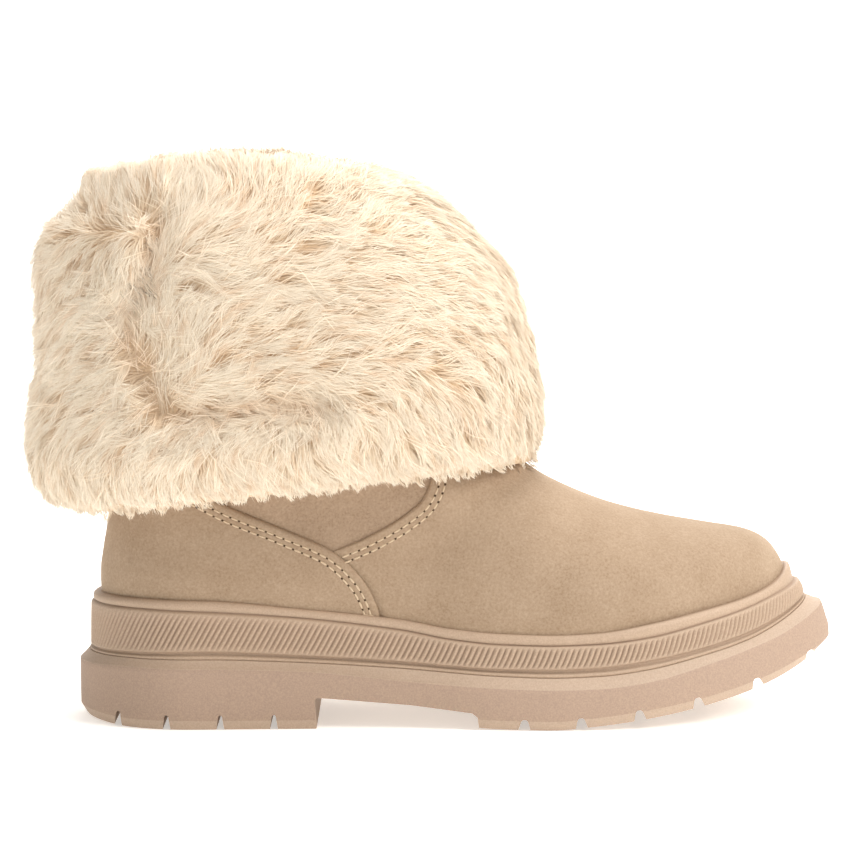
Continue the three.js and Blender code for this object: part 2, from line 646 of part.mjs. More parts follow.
// The way the fur is combed: forward on the field, down at the hem, up at the top, back on the flap
function flow(station, z, lateral) {
  const hem = 1 - smoothstep(COMB.hem.low, COMB.hem.high, z);
  const crown = smoothstep(COMB.crown.low, COMB.crown.high, z);
  const change = lateral ? COMB.lateralFlap : COMB.medialFlap;
  const flap = 1 - smoothstep(change.start, change.end, station);
  const keep = mix(1, COMB.hem.keepForward, hem) * mix(1, COMB.crown.keepForward, crown);
  const forward = mix(COMB.field.forward, COMB.flap.forward, flap) * keep;
  const upward = mix(COMB.field.up, COMB.flap.up, flap) - COMB.hem.down * hem + COMB.crown.up * crown;
  const length = Math.hypot(forward, upward);
  return { forward: forward / length, upward: upward / length };
}

// A lock: a pointed tuft that lies along the combed surface, with its root and sides sunk in it
function lockSolid(turn, row, scale) {
  const root = cuffPoint(turn, row);
  const lateral = isLateral(turn);
  const combed = flow(root.x + HEEL_SEAT_STATION, root.z, lateral);
  const stepTurn = 0.01;
  const stepRow = 0.25;
  const perTurn = cuffPoint((turn + stepTurn) % 1, row).distanceTo(root) / stepTurn;
  const perRow = cuffPoint(turn, row + stepRow).distanceTo(root) / stepRow;
  const byTurn = (lateral ? combed.forward : -combed.forward) / perTurn;
  const byRow = combed.upward / perRow;
  const place = (forward, sideways, up) => {
    const whereTurn = (turn + forward * byTurn - (sideways * byRow * perRow) / perTurn + 1) % 1;
    const movedRow = row + forward * byRow + (sideways * byTurn * perTurn) / perRow;
    const whereRow = Math.min(Math.max(movedRow, FIRST_LOCK_ROW), LAST_LOCK_ROW);
    return cuffPoint(whereTurn, whereRow).addScaledVector(cuffNormal(whereTurn, whereRow), up);
  };
  const { length, width, thickness, sink, lift } = LOCK;
  const corners = [
    place(-length * LOCK_SHARES.behindRoot * scale, 0, -sink),
    place(length * LOCK_SHARES.widest * scale, (width / 2) * scale, -sink),
    place(length * LOCK_SHARES.widest * scale, (-width / 2) * scale, -sink),
    place(length * LOCK_SHARES.ridge * scale, 0, thickness * scale),
    place(length * scale, 0, lift * scale),
  ];
  const positions = corners.flatMap((corner) => corner.toArray());
  const triangles = [0, 1, 2, 0, 3, 1, 0, 2, 3, 1, 3, 4, 2, 4, 3, 1, 4, 2];
  return toSolid({ positions, triangles });
}

function cuffSolid() {
  const outer = CUFF_HOOPS.map((_, row) => cuffRing(row));
  const wallOuter = -SKIN_TO_WALL + CUFF_CLEARANCE;
  const wallInner = -SKIN_TO_WALL - WALL - CUFF_CLEARANCE;
  const byShaft = [
    skinRing(LINING_HOOP, wallInner, CUFF_COLUMNS),
    skinRing(TOP_HOOP, wallInner, CUFF_COLUMNS, CUFF_CLEARANCE),
    skinRing(TOP_HOOP, wallOuter, CUFF_COLUMNS, CUFF_CLEARANCE),
    ...CUFF_STEP_HOOPS.map((row) => skinRing(row, wallOuter, CUFF_COLUMNS)),
    skinRing(PANEL_CLEAR_HOOP, CUFF_CLEARANCE, CUFF_COLUMNS),
    skinRing(HEM_HOOP, CUFF_CLEARANCE, CUFF_COLUMNS),
  ];
  let body = toSolid(sleeveOf([...outer, ...byShaft]));
  for (let k = 0; k < LOCK_COUNT; k += 1) {
    const turn = (k * GOLDEN_SHARE) % 1;
    const row = mix(LOCK_ROOT_ROWS.low, LOCK_ROOT_ROWS.high, (k + 0.5) / LOCK_COUNT);
    const scale = mix(LOCK_SCALE.small, LOCK_SCALE.large, (k * SCALE_STEP) % 1);
    body = body.add(lockSolid(turn, row, scale));
  }
  const shaft = stackOf(HEM_CLEAR_HOOPS.map((row) => skinRing(row, SHAFT_CLEARANCE)));
  return body.subtract(toSolid(shaft));
}

// Materials

const tan = (color, roughness) => new THREE.MeshStandardMaterial({ color, roughness, metalness: 0 });
const MATERIALS = {
  outsole: tan(0xc3a68e, 0.8),
  midsole: tan(0xcbb094, 0.75),
  upper: tan(0xb8987a, 0.95),
  panel: tan(0xc9ad8e, 0.95),
  fur: tan(0xf0dfc8, 1.0),
  insole: tan(0xe6d6c0, 1.0),
};

// Assembly

const boot = new THREE.Group();
boot.name = 'boot';

function addPart(name, body, material) {
  const mesh = new THREE.Mesh(toGeometry(body), material);
  mesh.name = name;
  boot.add(mesh);
}

const skin = panelSkin();
addPart('outsole', outsoleSolid(), MATERIALS.outsole);
addPart('midsole', midsoleBody(), MATERIALS.midsole);
addPart('insole', insoleBody(), MATERIALS.insole);
addPart('upper', upperBody(), MATERIALS.upper);
addPart('quarter_panel', skin.intersect(sidePrism(quarterOutline(0))), MATERIALS.panel);
const vamp = skin.intersect(sidePrism(vampOutline())).subtract(sidePrism(quarterOutline(JOIN_GAP)));
addPart('vamp_panel', vamp, MATERIALS.panel);
addPart('fur_cuff', cuffSolid(), MATERIALS.fur);

export default boot;
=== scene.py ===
# %% [markdown]
# # A sheepskin boot with a turned-down fur cuff
#
# The real thing is a winter boot: a lugged rubber outsole, a ribbed foam midsole, an upper of brushed
# nubuck sewn from panels, and a deep sheepskin cuff that is turned down over the shaft. This lesson loads
# the plain CAD model as the frame and dresses it, piece by piece, in the same millimetres.

import math

import bpy
import numpy as np
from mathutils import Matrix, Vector


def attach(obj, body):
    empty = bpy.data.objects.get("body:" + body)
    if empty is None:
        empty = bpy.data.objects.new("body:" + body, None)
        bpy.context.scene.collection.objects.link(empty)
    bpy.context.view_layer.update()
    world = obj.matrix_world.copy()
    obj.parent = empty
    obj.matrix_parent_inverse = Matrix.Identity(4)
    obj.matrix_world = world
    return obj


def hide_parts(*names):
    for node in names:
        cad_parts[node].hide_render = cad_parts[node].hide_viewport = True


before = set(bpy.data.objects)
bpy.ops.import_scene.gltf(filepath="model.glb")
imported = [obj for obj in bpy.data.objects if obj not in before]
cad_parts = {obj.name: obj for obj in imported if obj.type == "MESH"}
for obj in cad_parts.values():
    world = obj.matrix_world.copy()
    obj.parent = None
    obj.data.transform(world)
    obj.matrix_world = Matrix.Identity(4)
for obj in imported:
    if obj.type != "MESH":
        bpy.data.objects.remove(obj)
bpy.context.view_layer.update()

# %% [markdown]
# ## Camera
# A product photograph of a shoe is taken from far away with a long lens, so that near and far edges keep
# the same size. Here the camera stands 1.3 m off, a little above the floor and a little towards the heel.

# %% Camera
MM = 0.001
AIM = Vector((89.4, 0.0, 107.7)) * MM
CAMERA_DISTANCE = 1.3
CAMERA_TURN = math.radians(-3.5)
CAMERA_RISE = math.radians(5.5)
LENS_MM = 146.8

towards_camera = Vector((
    math.sin(CAMERA_TURN) * math.cos(CAMERA_RISE),
    -math.cos(CAMERA_TURN) * math.cos(CAMERA_RISE),
    math.sin(CAMERA_RISE),
))
camera = bpy.data.objects.new("camera", bpy.data.cameras.new("camera"))
camera.data.lens = LENS_MM
camera.data.clip_start = 0.05
camera.location = AIM + towards_camera * CAMERA_DISTANCE
camera.rotation_euler = (-towards_camera).to_track_quat("-Z", "Y").to_euler()
bpy.context.collection.objects.link(camera)
bpy.context.scene.camera = camera
print("camera stands at", tuple(round(value, 3) for value in camera.location))

# %% [markdown]
# ## Helpers for finishes
# Colours are picked as sRGB hex values, the way a colour card gives them. Blender's shaders work in
# linear light, so one function converts them. Another adds a shader node with its settings and links.

# %% Colour and nodes


def linear(hex_colour):
    shares = [int(hex_colour[start:start + 2], 16) / 255 for start in (1, 3, 5)]
    return [share / 12.92 if share <= 0.04045 else ((share + 0.055) / 1.055) ** 2.4 for share in shares]


def add_node(tree, kind, settings=None, inputs=None):
    node = tree.nodes.new(kind)
    for name, value in (settings or {}).items():
        setattr(node, name, value)
    for socket, value in (inputs or {}).items():
        if isinstance(value, bpy.types.NodeSocket):
            tree.links.new(value, node.inputs[socket])
        else:
            node.inputs[socket].default_value = value
    return node


def new_material(name):
    material = bpy.data.materials.new(name)
    material.use_nodes = True
    material.node_tree.nodes.clear()
    return material, material.node_tree


def finish_material(tree, surface):
    add_node(tree, "ShaderNodeOutputMaterial", inputs={"Surface": surface.outputs[0]})


# %% [markdown]
# ## Helpers for shapes
# Most of the boot is a stack of closed rings, like the hoops of a barrel. A ring has a point for each
# turn: 0 at the heel, along the outer side to 0.5 at the toe, and back along the inner side to 1. NumPy
# makes all points of a stack at once, which is much quicker than adding them one by one.

# %% Meshes from arrays


def mesh_object(name, points, quads=(), triangles=(), materials=()):
    quads = np.asarray(quads, dtype=np.int32).reshape(-1, 4)
    triangles = np.asarray(triangles, dtype=np.int32).reshape(-1, 3)
    corners = np.concatenate([quads.ravel(), triangles.ravel()])
    sizes = np.concatenate([np.full(len(quads), 4), np.full(len(triangles), 3)])
    starts = np.concatenate([[0], np.cumsum(sizes)[:-1]])
    mesh = bpy.data.meshes.new(name)
    mesh.vertices.add(len(points))
    mesh.vertices.foreach_set("co", (np.asarray(points) * MM).astype(np.float32).ravel())
    mesh.loops.add(len(corners))
    mesh.loops.foreach_set("vertex_index", corners.astype(np.int32))
    mesh.polygons.add(len(sizes))
    mesh.polygons.foreach_set("loop_start", starts.astype(np.int32))
    mesh.polygons.foreach_set("use_smooth", np.ones(len(sizes), dtype=bool))
    for material in materials:
        mesh.materials.append(material)
    mesh.update(calc_edges=True)
    piece = bpy.data.objects.new(name, mesh)
    bpy.context.collection.objects.link(piece)
    return piece


def grid_quads(rows, columns, closed, first=0):
    span = columns if closed else columns - 1
    row, column = np.meshgrid(np.arange(rows - 1), np.arange(span), indexing="ij")
    near = row * columns + column
    following = row * columns + (column + 1) % columns
    quads = np.stack([near, following, following + columns, near + columns], axis=-1)
    return quads.reshape(-1, 4) + first


def cap_faces(count, first, faces_up):
    """Closes a ring with a strip that runs straight across it."""
    near = np.arange(1, count // 2 - 1)
    quads = np.stack([near, near + 1, count - near - 1, count - near], axis=-1)
    half = count // 2
    triangles = np.array([[0, 1, count - 1], [half - 1, half, half + 1]])
    if not faces_up:
        quads, triangles = quads[:, ::-1], triangles[:, ::-1]
    return quads + first, triangles + first


def stack_object(name, rings, materials=()):
    """A closed body from rings that go up. rings has the shape (rings, turns, 3)."""
    count, columns = rings.shape[:2]
    low_quads, low_triangles = cap_faces(columns, 0, False)
    high_quads, high_triangles = cap_faces(columns, (count - 1) * columns, True)
    quads = np.concatenate([grid_quads(count, columns, True), low_quads, high_quads])
    triangles = np.concatenate([low_triangles, high_triangles])
    return mesh_object(name, rings.reshape(-1, 3), quads, triangles, materials)


def sleeve_object(name, rings, materials=()):
    """A closed wall from rings that go up outside and come down inside."""
    looped = np.concatenate([rings, rings[:1]])
    count, columns = looped.shape[:2]
    quads = grid_quads(count, columns, True) % ((count - 1) * columns)
    return mesh_object(name, rings.reshape(-1, 3), quads, (), materials)


def place(piece, slot, *replaced):
    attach(piece, "root")
    if replaced:
        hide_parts(*replaced)
    count = sum(len(face.vertices) - 2 for face in piece.data.polygons)
    print(f"{piece.name}: {count} triangles")
    return piece


def sharpen(piece, degrees):
    """Keeps edges sharp where two faces meet at more than this angle."""
    bpy.context.view_layer.objects.active = piece
    piece.select_set(True)
    bpy.ops.object.shade_smooth_by_angle(angle=math.radians(degrees))
    piece.select_set(False)


# %% Smooth tables


def columns(names, *rows):
    return {name: np.array([row[k] for row in rows], float) for k, name in enumerate(names.split())}


def read(table, column, where, key="station"):
    """Reads a column along a smooth curve that never overshoots its rows."""
    x, y = table[key], table[column]
    slope = np.diff(y) / np.diff(x)
    before, after = slope[:-1], slope[1:]
    total = np.where(before * after > 0, before + after, 1)
    inner = np.where(before * after > 0, 2 * before * after / total, 0)
    tangent = np.concatenate([slope[:1], inner, slope[-1:]])
    where = np.clip(where, x[0], x[-1])
    i = np.clip(np.searchsorted(x, where, side="right") - 1, 0, len(x) - 2)
    width = x[i + 1] - x[i]
    t = (where - x[i]) / width
    return (y[i] * (1 + 2 * t) * (1 - t) ** 2 + width * tangent[i] * t * (1 - t) ** 2
            + y[i + 1] * t * t * (3 - 2 * t) + width * tangent[i + 1] * t * t * (t - 1))


def mix(a, b, share):
    return a + (b - a) * share


def smoothstep(start, end, x):
    t = np.clip((x - start) / (end - start), 0, 1)
    return t * t * (3 - 2 * t)


def bell(x):
    return np.exp(-x * x)


# %% [markdown]
# ## The sole's own sizes
# A last-maker works with stations along the foot and half widths at each station. These are the CAD
# model's tables again: the plan of the sole, the lines that run round its side, and how far each line
# lies inside the widest outline at the heel, the sides and the toe.

# %% Plan and height tables
SOLE_LENGTH = 284
HEEL_SEAT_STATION = 40
TOE_SWING = 7
SWING_START = 190
SOLE_HEEL_RADIUS = 42
SOLE_TOE_RADIUS = 85

PLAN = columns(
    "station lateral medial",
    (0, 39.5, 39.5), (45, 40.5, 40), (81, 41, 37), (118, 42.5, 33.5), (154, 48, 39.5),
    (181, 50.5, 45), (209, 50.5, 47), (240, 50, 46), (284, 48, 42),
)
HEIGHTS = columns(
    "station tread ledge_edge ledge band_foot band_top feather",
    (0, 1.2, 21.8, 24.8, 26.6, 43.1, 46.6),
    (20, 0, 23.0, 25.4, 27.9, 43.6, 47.3),
    (45, 0, 22.8, 25.5, 28.7, 42.8, 47.0),
    (81, 0, 21.8, 24.3, 27.1, 40.4, 43.8),
    (118, 0.6, 18.2, 22.0, 24.8, 35.9, 39.8),
    (136, 1.1, 16.8, 20.6, 23.4, 32.6, 36.6),
    (154, 0.3, 15.9, 19.5, 22.4, 30.9, 35.0),
    (172, 0, 15.4, 19.0, 22.3, 30.5, 34.5),
    (190, 1.4, 15.8, 19.5, 23.0, 31.0, 35.2),
    (209, 3.9, 18.1, 21.7, 25.4, 33.1, 38.0),
    (228, 7.1, 22.6, 25.5, 28.6, 37.0, 41.5),
    (248, 11.5, 27.9, 30.2, 33.2, 41.5, 45.2),
    (260, 15.0, 31.4, 34.6, 37.2, 45.0, 49.0),
    (272, 19.4, 36.3, 40.2, 42.2, 48.3, 58.3),
    (284, 23.6, 41.6, 47.0, 48.0, 53.0, 66.0),
)


def swing(station):
    return TOE_SWING * smoothstep(SWING_START, SOLE_LENGTH, station)


def end_round(station, back, front, back_radius, front_radius):
    from_back = np.clip((station - back) / back_radius, 0, 1)
    from_front = np.clip((front - station) / front_radius, 0, 1)
    return np.sqrt(1 - (1 - from_back) ** 2) * np.sqrt(1 - (1 - from_front) ** 2)


def along_of(turn):
    return (1 - np.cos(2 * np.pi * turn)) / 2


def is_lateral(turn):
    return turn % 1 <= 0.5


def sole_half(turn, station):
    return np.where(is_lateral(turn), read(PLAN, "lateral", station), read(PLAN, "medial", station))


def sole_ring(turn, inset, height_of):
    """Points of one line round the sole. inset is (heel, side, toe)."""
    heel, side, toe = inset
    back, front = heel, SOLE_LENGTH - toe
    station = mix(back, front, along_of(turn))
    rounding = end_round(station, back, front, SOLE_HEEL_RADIUS - heel, SOLE_TOE_RADIUS - toe)
    outward = np.where(is_lateral(turn), -1, 1)
    y = swing(station) + outward * (sole_half(turn, station) - side) * rounding
    return np.stack([station - HEEL_SEAT_STATION, y, height_of(station)], axis=-1)


def turns_of(count):
    return np.arange(count) / count


# %% [markdown]
# ## Moulded rubber and foam
# The outsole is rubber from a steel mould and the midsole is foam with a moulded skin. Both are matt and
# tan. The side walls come from spark-eroded steel, which leaves a grain of about 0.3 mm. That is too fine
# for the picture, so it is drawn at 0.6 mm. Shade is painted into the foam's grooves and recesses: the
# foam reads a "groove" value, stored at each point of the mesh, that darkens its colour there.

# %% Rubber and foam


MOULD_GRAIN_MM = 0.6
FINE_RELIEF = 0.3 * MM


def moulded_material(name, hex_colour, hex_shade, roughness, grain_depth, hex_groove_shade=None):
    material, tree = new_material(name)
    object_place = add_node(tree, "ShaderNodeTexCoord").outputs["Object"]
    grain = add_node(tree, "ShaderNodeTexNoise", inputs={
        "Vector": object_place, "Scale": 1 / (MOULD_GRAIN_MM * MM), "Detail": 2.0, "Roughness": 0.6})
    share = add_node(tree, "ShaderNodeMapRange", inputs={
        "Value": grain.outputs["Fac"], "From Min": 0.3, "From Max": 0.7})
    colour = add_node(tree, "ShaderNodeMix", {"data_type": "RGBA"}, {
        "Factor": share.outputs[0], "A": (*linear(hex_shade), 1), "B": (*linear(hex_colour), 1)})
    # Painted shade: the groove value at each point darkens the colour.
    if hex_groove_shade:
        groove = add_node(tree, "ShaderNodeVertexColor", {"layer_name": "groove"})
        colour = add_node(tree, "ShaderNodeMix", {"data_type": "RGBA"}, {
            "Factor": groove.outputs["Color"], "A": colour.outputs["Result"], "B": (*linear(hex_groove_shade), 1)})
    bump = add_node(tree, "ShaderNodeBump", inputs={
        "Height": grain.outputs["Fac"], "Strength": grain_depth, "Distance": FINE_RELIEF})
    surface = add_node(tree, "ShaderNodeBsdfPrincipled", inputs={
        "Base Color": colour.outputs["Result"], "Roughness": roughness, "IOR": 1.5,
        "Specular IOR Level": 0.3, "Normal": bump.outputs[0]})
    finish_material(tree, surface)
    return material


smooth_rubber = moulded_material("moulded_tan_rubber", "#bba591", "#ad9783", 0.65, 0.1)
# The wall's grain is real; its colour, darker than the ledge's, is painted shade.
shaded_wall_rubber = moulded_material("spark_grained_tan_rubber_painted_shade", "#b29a85", "#a0897a", 0.8, 0.3)
# The foam gets painted shade in its grooves, its recesses and at the feather line.
foam = moulded_material("moulded_tan_foam", "#baa28c", "#ab947e", 0.6, 0.1, "#846b57")
print("moulded finishes:", smooth_rubber.name, shaded_wall_rubber.name, foam.name)

# %% [markdown]
# ## Outsole
# A unit sole is moulded with a heel block, an arch that is cut away, and lugs under the ball. The side
# wall is a stack of rings with small radii at its edges, as a mould leaves them. The gaps between the
# lugs run right across, so long prisms cut them with one Boolean.

# %% Outsole rings
# level 0 is the tread, 1 the outer edge of the ledge, 2 its inner edge
OUTSOLE_PROFILE = columns(
    "level rise heel side toe",
    (0, 0.0, 3.0, 2.2, 5.2),
    (0, 0.1, 2.4, 1.6, 4.6),
    (0, 0.7, 1.9, 1.1, 4.0),
    (0, 3.5, 0.1, 0.1, 0.0),
    (0, 7.5, 0.0, 0.1, 0.3),
    (1, -2.0, 0.0, 0.4, 2.7),
    (1, -0.5, 0.0, 0.6, 3.2),
    (1, -0.1, 0.3, 0.9, 3.6),
    (1, 0.1, 0.8, 1.3, 4.2),
    (2, -0.1, 3.2, 3.0, 9.0),
    (2, 0.0, 5.5, 5.3, 11.4),
)
OUTSOLE_COLUMNS = 256
LINES = ["tread", "ledge_edge", "ledge"]
# The faces between these profile rows are the grained wall, whose colour is painted a little darker as shade
# under the lit ledge
WALL_ROWS = (3, 6)


def outsole_rings():
    turn = turns_of(OUTSOLE_COLUMNS)
    rings = []
    for k in range(len(OUTSOLE_PROFILE["level"])):
        line = LINES[int(OUTSOLE_PROFILE["level"][k])]
        rise = OUTSOLE_PROFILE["rise"][k]
        inset = [OUTSOLE_PROFILE[name][k] for name in ("heel", "side", "toe")]
        rings.append(sole_ring(turn, inset, lambda station: read(HEIGHTS, line, station) + rise))
    return np.array(rings)


outsole = stack_object("outsole_unit", outsole_rings(), [smooth_rubber, shaded_wall_rubber])
face_row = np.arange(len(outsole.data.polygons)) // OUTSOLE_COLUMNS
on_wall = (face_row >= WALL_ROWS[0]) & (face_row < WALL_ROWS[1])
outsole.data.polygons.foreach_set("material_index", on_wall.astype(np.int32))

# %% Cuts between the lugs
HEEL_BREAST = 86.2
FOREFOOT_BREAST = 145.6
ARCH_REAR = 11.7
ARCH_FRONT = 6.3
TREAD_SKEW = math.tan(math.radians(3.5))
TREAD_EDGE_Y = -45
HEEL_CUTS = [13.5, 32, 51.7, 71.3]
FOREFOOT_CUTS = [163, 184, 205.5, 227.5, 250.5, 272.5]
HEEL_CUT = {"depth": 5.5, "top": 1.5, "mouth": 3.0}
FOREFOOT_CUT = {"depth": 4.0, "top": 2.5, "mouth": 4.5}
CUT_REACH = 90
BELOW_TREAD = 3
SMOOTH_EDGE_DEGREES = 38


def cut_outline(station, size):
    """The corners of a cut in the side view: it widens below, and its top is rounded."""
    floor = float(read(HEIGHTS, "tread", station))
    spring = float(read(HEIGHTS, "tread", station + 1)) - floor
    half_top, half_mouth, depth = size["top"] / 2, size["mouth"] / 2, size["depth"]
    corners = [
        (-half_mouth - 0.3, -BELOW_TREAD), (half_mouth + 0.3, -BELOW_TREAD), (half_mouth - 0.1, 0.4),
        (half_top, depth - 0.6), (half_top * 0.5, depth), (-half_top * 0.5, depth),
        (-half_top, depth - 0.6), (-half_mouth + 0.1, 0.4),
    ]
    return [(station + across - up * spring, floor + up + across * spring) for across, up in corners]


def arch_outline():
    """The corners of the arch: an upright heel breast, a roof that falls forward, a lower forefoot end."""
    span = FOREFOOT_BREAST - HEEL_BREAST
    return [
        (HEEL_BREAST + 0.8, -2), (FOREFOOT_BREAST + 1.2, -2), (FOREFOOT_BREAST + 0.3, ARCH_FRONT - 1.6),
        (FOREFOOT_BREAST - 1.6, ARCH_FRONT), (HEEL_BREAST + span * 0.6, mix(ARCH_REAR, ARCH_FRONT, 0.52)),
        (HEEL_BREAST + 0.8, ARCH_REAR), (HEEL_BREAST, ARCH_REAR - 0.8),
    ]


def prism_cutter(outlines):
    points, faces = [], []
    for outline in outlines:
        count, first = len(outline), len(points)
        for y in (-CUT_REACH, CUT_REACH):
            points += [(station - HEEL_SEAT_STATION + (y - TREAD_EDGE_Y) * TREAD_SKEW, y, z)
                       for station, z in outline]
        faces.append([first + k for k in range(count)])
        faces.append([first + count + k for k in reversed(range(count))])
        for k in range(count):
            after = (k + 1) % count
            faces.append([first + k, first + count + k, first + count + after, first + after])
    mesh = bpy.data.meshes.new("cutter")
    mesh.from_pydata((np.array(points) * MM).tolist(), [], faces)
    cutter = bpy.data.objects.new("cutter", mesh)
    bpy.context.collection.objects.link(cutter)
    return cutter


cutter = prism_cutter(
    [arch_outline()] + [cut_outline(station, HEEL_CUT) for station in HEEL_CUTS]
    + [cut_outline(station, FOREFOOT_CUT) for station in FOREFOOT_CUTS]
)
cut = outsole.modifiers.new("lugs", "BOOLEAN")
cut.operation = "DIFFERENCE"
cut.solver = "EXACT"
cut.object = cutter
bpy.context.view_layer.update()
carved = bpy.data.meshes.new_from_object(outsole.evaluated_get(bpy.context.evaluated_depsgraph_get()))
outsole.modifiers.clear()
outsole.data = carved
bpy.data.objects.remove(cutter)
sharpen(outsole, SMOOTH_EDGE_DEGREES)
place(outsole, "outsole", "outsole")

# %% [markdown]
# ## Midsole
# The midsole shows a bead and a groove above the outsole, a tall band of fine slanted ribs, and a rolled
# lip that the upper stands in. The ribs are real relief here, 2.1 mm apart and 1 mm deep. The columns of
# the mesh lean with the ribs, four to a rib, and those in a groove are pushed in, so few points are
# enough for clean ridges.

# %% Midsole rings
# level 0 is the ledge, 1 the foot of the band, 2 its top, 3 the feather line; shade is painted shade that
# goes into the groove value, in the recesses and at the feather line
MIDSOLE_PROFILE = columns(
    "level heel side toe shade",
    (-0.15, 4.4, 4.2, 10.2, 0.1),
    (0.00, 3.9, 3.7, 9.7, 0.1),
    (0.10, 3.7, 3.5, 9.5, 0.0),
    (0.34, 3.7, 3.5, 9.5, 0.0),
    (0.42, 4.1, 3.9, 9.9, 0.1),
    (0.50, 4.9, 4.7, 10.7, 0.3),
    (0.84, 4.9, 4.7, 10.7, 0.3),
    (0.93, 4.3, 4.0, 10.4, 0.1),
    (1.00, 3.95, 3.65, 10.05, 0.0),
    (1.04, 3.9, 3.6, 10.0, 0.0),
    (1.93, 4.15, 3.85, 11.9, 0.0),
    (1.97, 4.4, 4.1, 12.3, 0.1),
    (2.00, 5.1, 4.8, 13.1, 0.5),
    (2.06, 5.6, 5.2, 14.0, 0.6),
    (2.14, 5.2, 4.7, 14.2, 0.1),
    (2.30, 5.0, 4.5, 14.6, 0.0),
    (2.50, 5.0, 4.5, 15.0, 0.0),
    (2.70, 5.2, 4.6, 15.4, 0.0),
    (2.86, 5.9, 5.0, 15.9, 0.0),
    (2.96, 6.8, 5.5, 16.6, 0.1),
    (3.00, 8.2, 6.8, 17.4, 0.5),
)
BAND_ROWS = 7
BAND_PROFILE_ROW = 10
BAND_LEVELS = (1.04, 1.93)
BAND_INSET = (3.9, 3.6, 10.0)
RIB_PITCH = 2.1
RIB_DEPTH = 1.05
RIB_SLANT = 0.56
RIB_SHADE = 0.6
RIB_FOOT_LEVELS = (1.0, 1.1)
RIB_TOP_LEVELS = (1.76, 1.9)
# How deep a rib is at four places along one pitch: a narrow groove, then a rounded ridge
RIB_SHAPE = np.array([1.0, 0.2, 0.0, 0.2])
RIB_PLACES = np.array([0.0, 0.24, 0.5, 0.76])


def midsole_height(level, station):
    lines = [read(HEIGHTS, name, station) for name in ("ledge", "band_foot", "band_top", "feather")]
    low = int(np.clip(math.floor(level), 0, 2))
    return mix(lines[low], lines[low + 1], level - low)


def midsole_rings():
    """Rings whose columns lean with the ribs, so each rib has the same few columns, and the painted shade of
    their grooves and recesses.
    """
    even = turns_of(4000)
    base = sole_ring(even, BAND_INSET, lambda station: read(HEIGHTS, "band_foot", station))
    steps = np.linalg.norm(np.roll(base, -1, axis=0) - base, axis=1)
    around = np.concatenate([[0], np.cumsum(steps)])
    ribs = round(around[-1] / RIB_PITCH)
    start = ((np.arange(ribs)[:, None] + RIB_PLACES) * around[-1] / ribs).ravel()
    shape = np.tile(RIB_SHAPE, ribs)
    levels = np.concatenate([
        MIDSOLE_PROFILE["level"][:BAND_PROFILE_ROW],
        np.linspace(*BAND_LEVELS, BAND_ROWS + 2)[1:-1],
        MIDSOLE_PROFILE["level"][BAND_PROFILE_ROW:],
    ])
    rings, shades = [], []
    turn = np.interp(start, around, np.append(even, 1))
    for level in levels:
        inset = [read(MIDSOLE_PROFILE, name, level, "level") for name in ("heel", "side", "toe")]
        if 1.0 < level < 2.0:
            station = sole_ring(turn, inset, np.zeros_like)[:, 0] + HEEL_SEAT_STATION
            rise = midsole_height(level, station) - midsole_height(1.0, station)
            turn = np.interp((start + RIB_SLANT * rise) % around[-1], around, np.append(even, 1))
        ring = sole_ring(turn, inset, lambda station: midsole_height(level, station))
        fade = smoothstep(*RIB_FOOT_LEVELS, level) * (1 - smoothstep(*RIB_TOP_LEVELS, level))
        tangent = np.roll(ring, -2, axis=0) - np.roll(ring, 2, axis=0)
        inward = np.stack([-tangent[:, 1], tangent[:, 0]], axis=-1)
        inward /= np.linalg.norm(inward, axis=1, keepdims=True)
        ring[:, :2] += inward * (RIB_DEPTH * fade * shape)[:, None]
        rings.append(ring)
        shades.append(RIB_SHADE * fade * shape ** 2 + read(MIDSOLE_PROFILE, "shade", level, "level"))
    return np.array(rings), np.array(shades)


def paint_points(piece, name, values):
    """Stores a colour or a grey value at each point of a mesh."""
    rgba = np.ones((len(values), 4), dtype=np.float32)
    rgba[:, :3] = values if values.ndim == 2 else values[:, None]
    layer = piece.data.color_attributes.new(name, "FLOAT_COLOR", "POINT")
    layer.data.foreach_set("color", rgba.ravel())


rib_rings, rib_shades = midsole_rings()
midsole = place(stack_object("midsole_unit", rib_rings, [foam]), "midsole", "midsole")
# The groove values are painted shade.
paint_points(midsole, "groove", rib_shades.ravel())

# %% [markdown]
# ## The skin of the upper
# The upper is lasted: leather is pulled over a foot-shaped form. Its shape is given by hoops that lean
# from a point on the back to a point on the front, from the feather line where it meets the sole up to
# the rim of the shaft. Everything sewn to the upper is placed on this one skin.

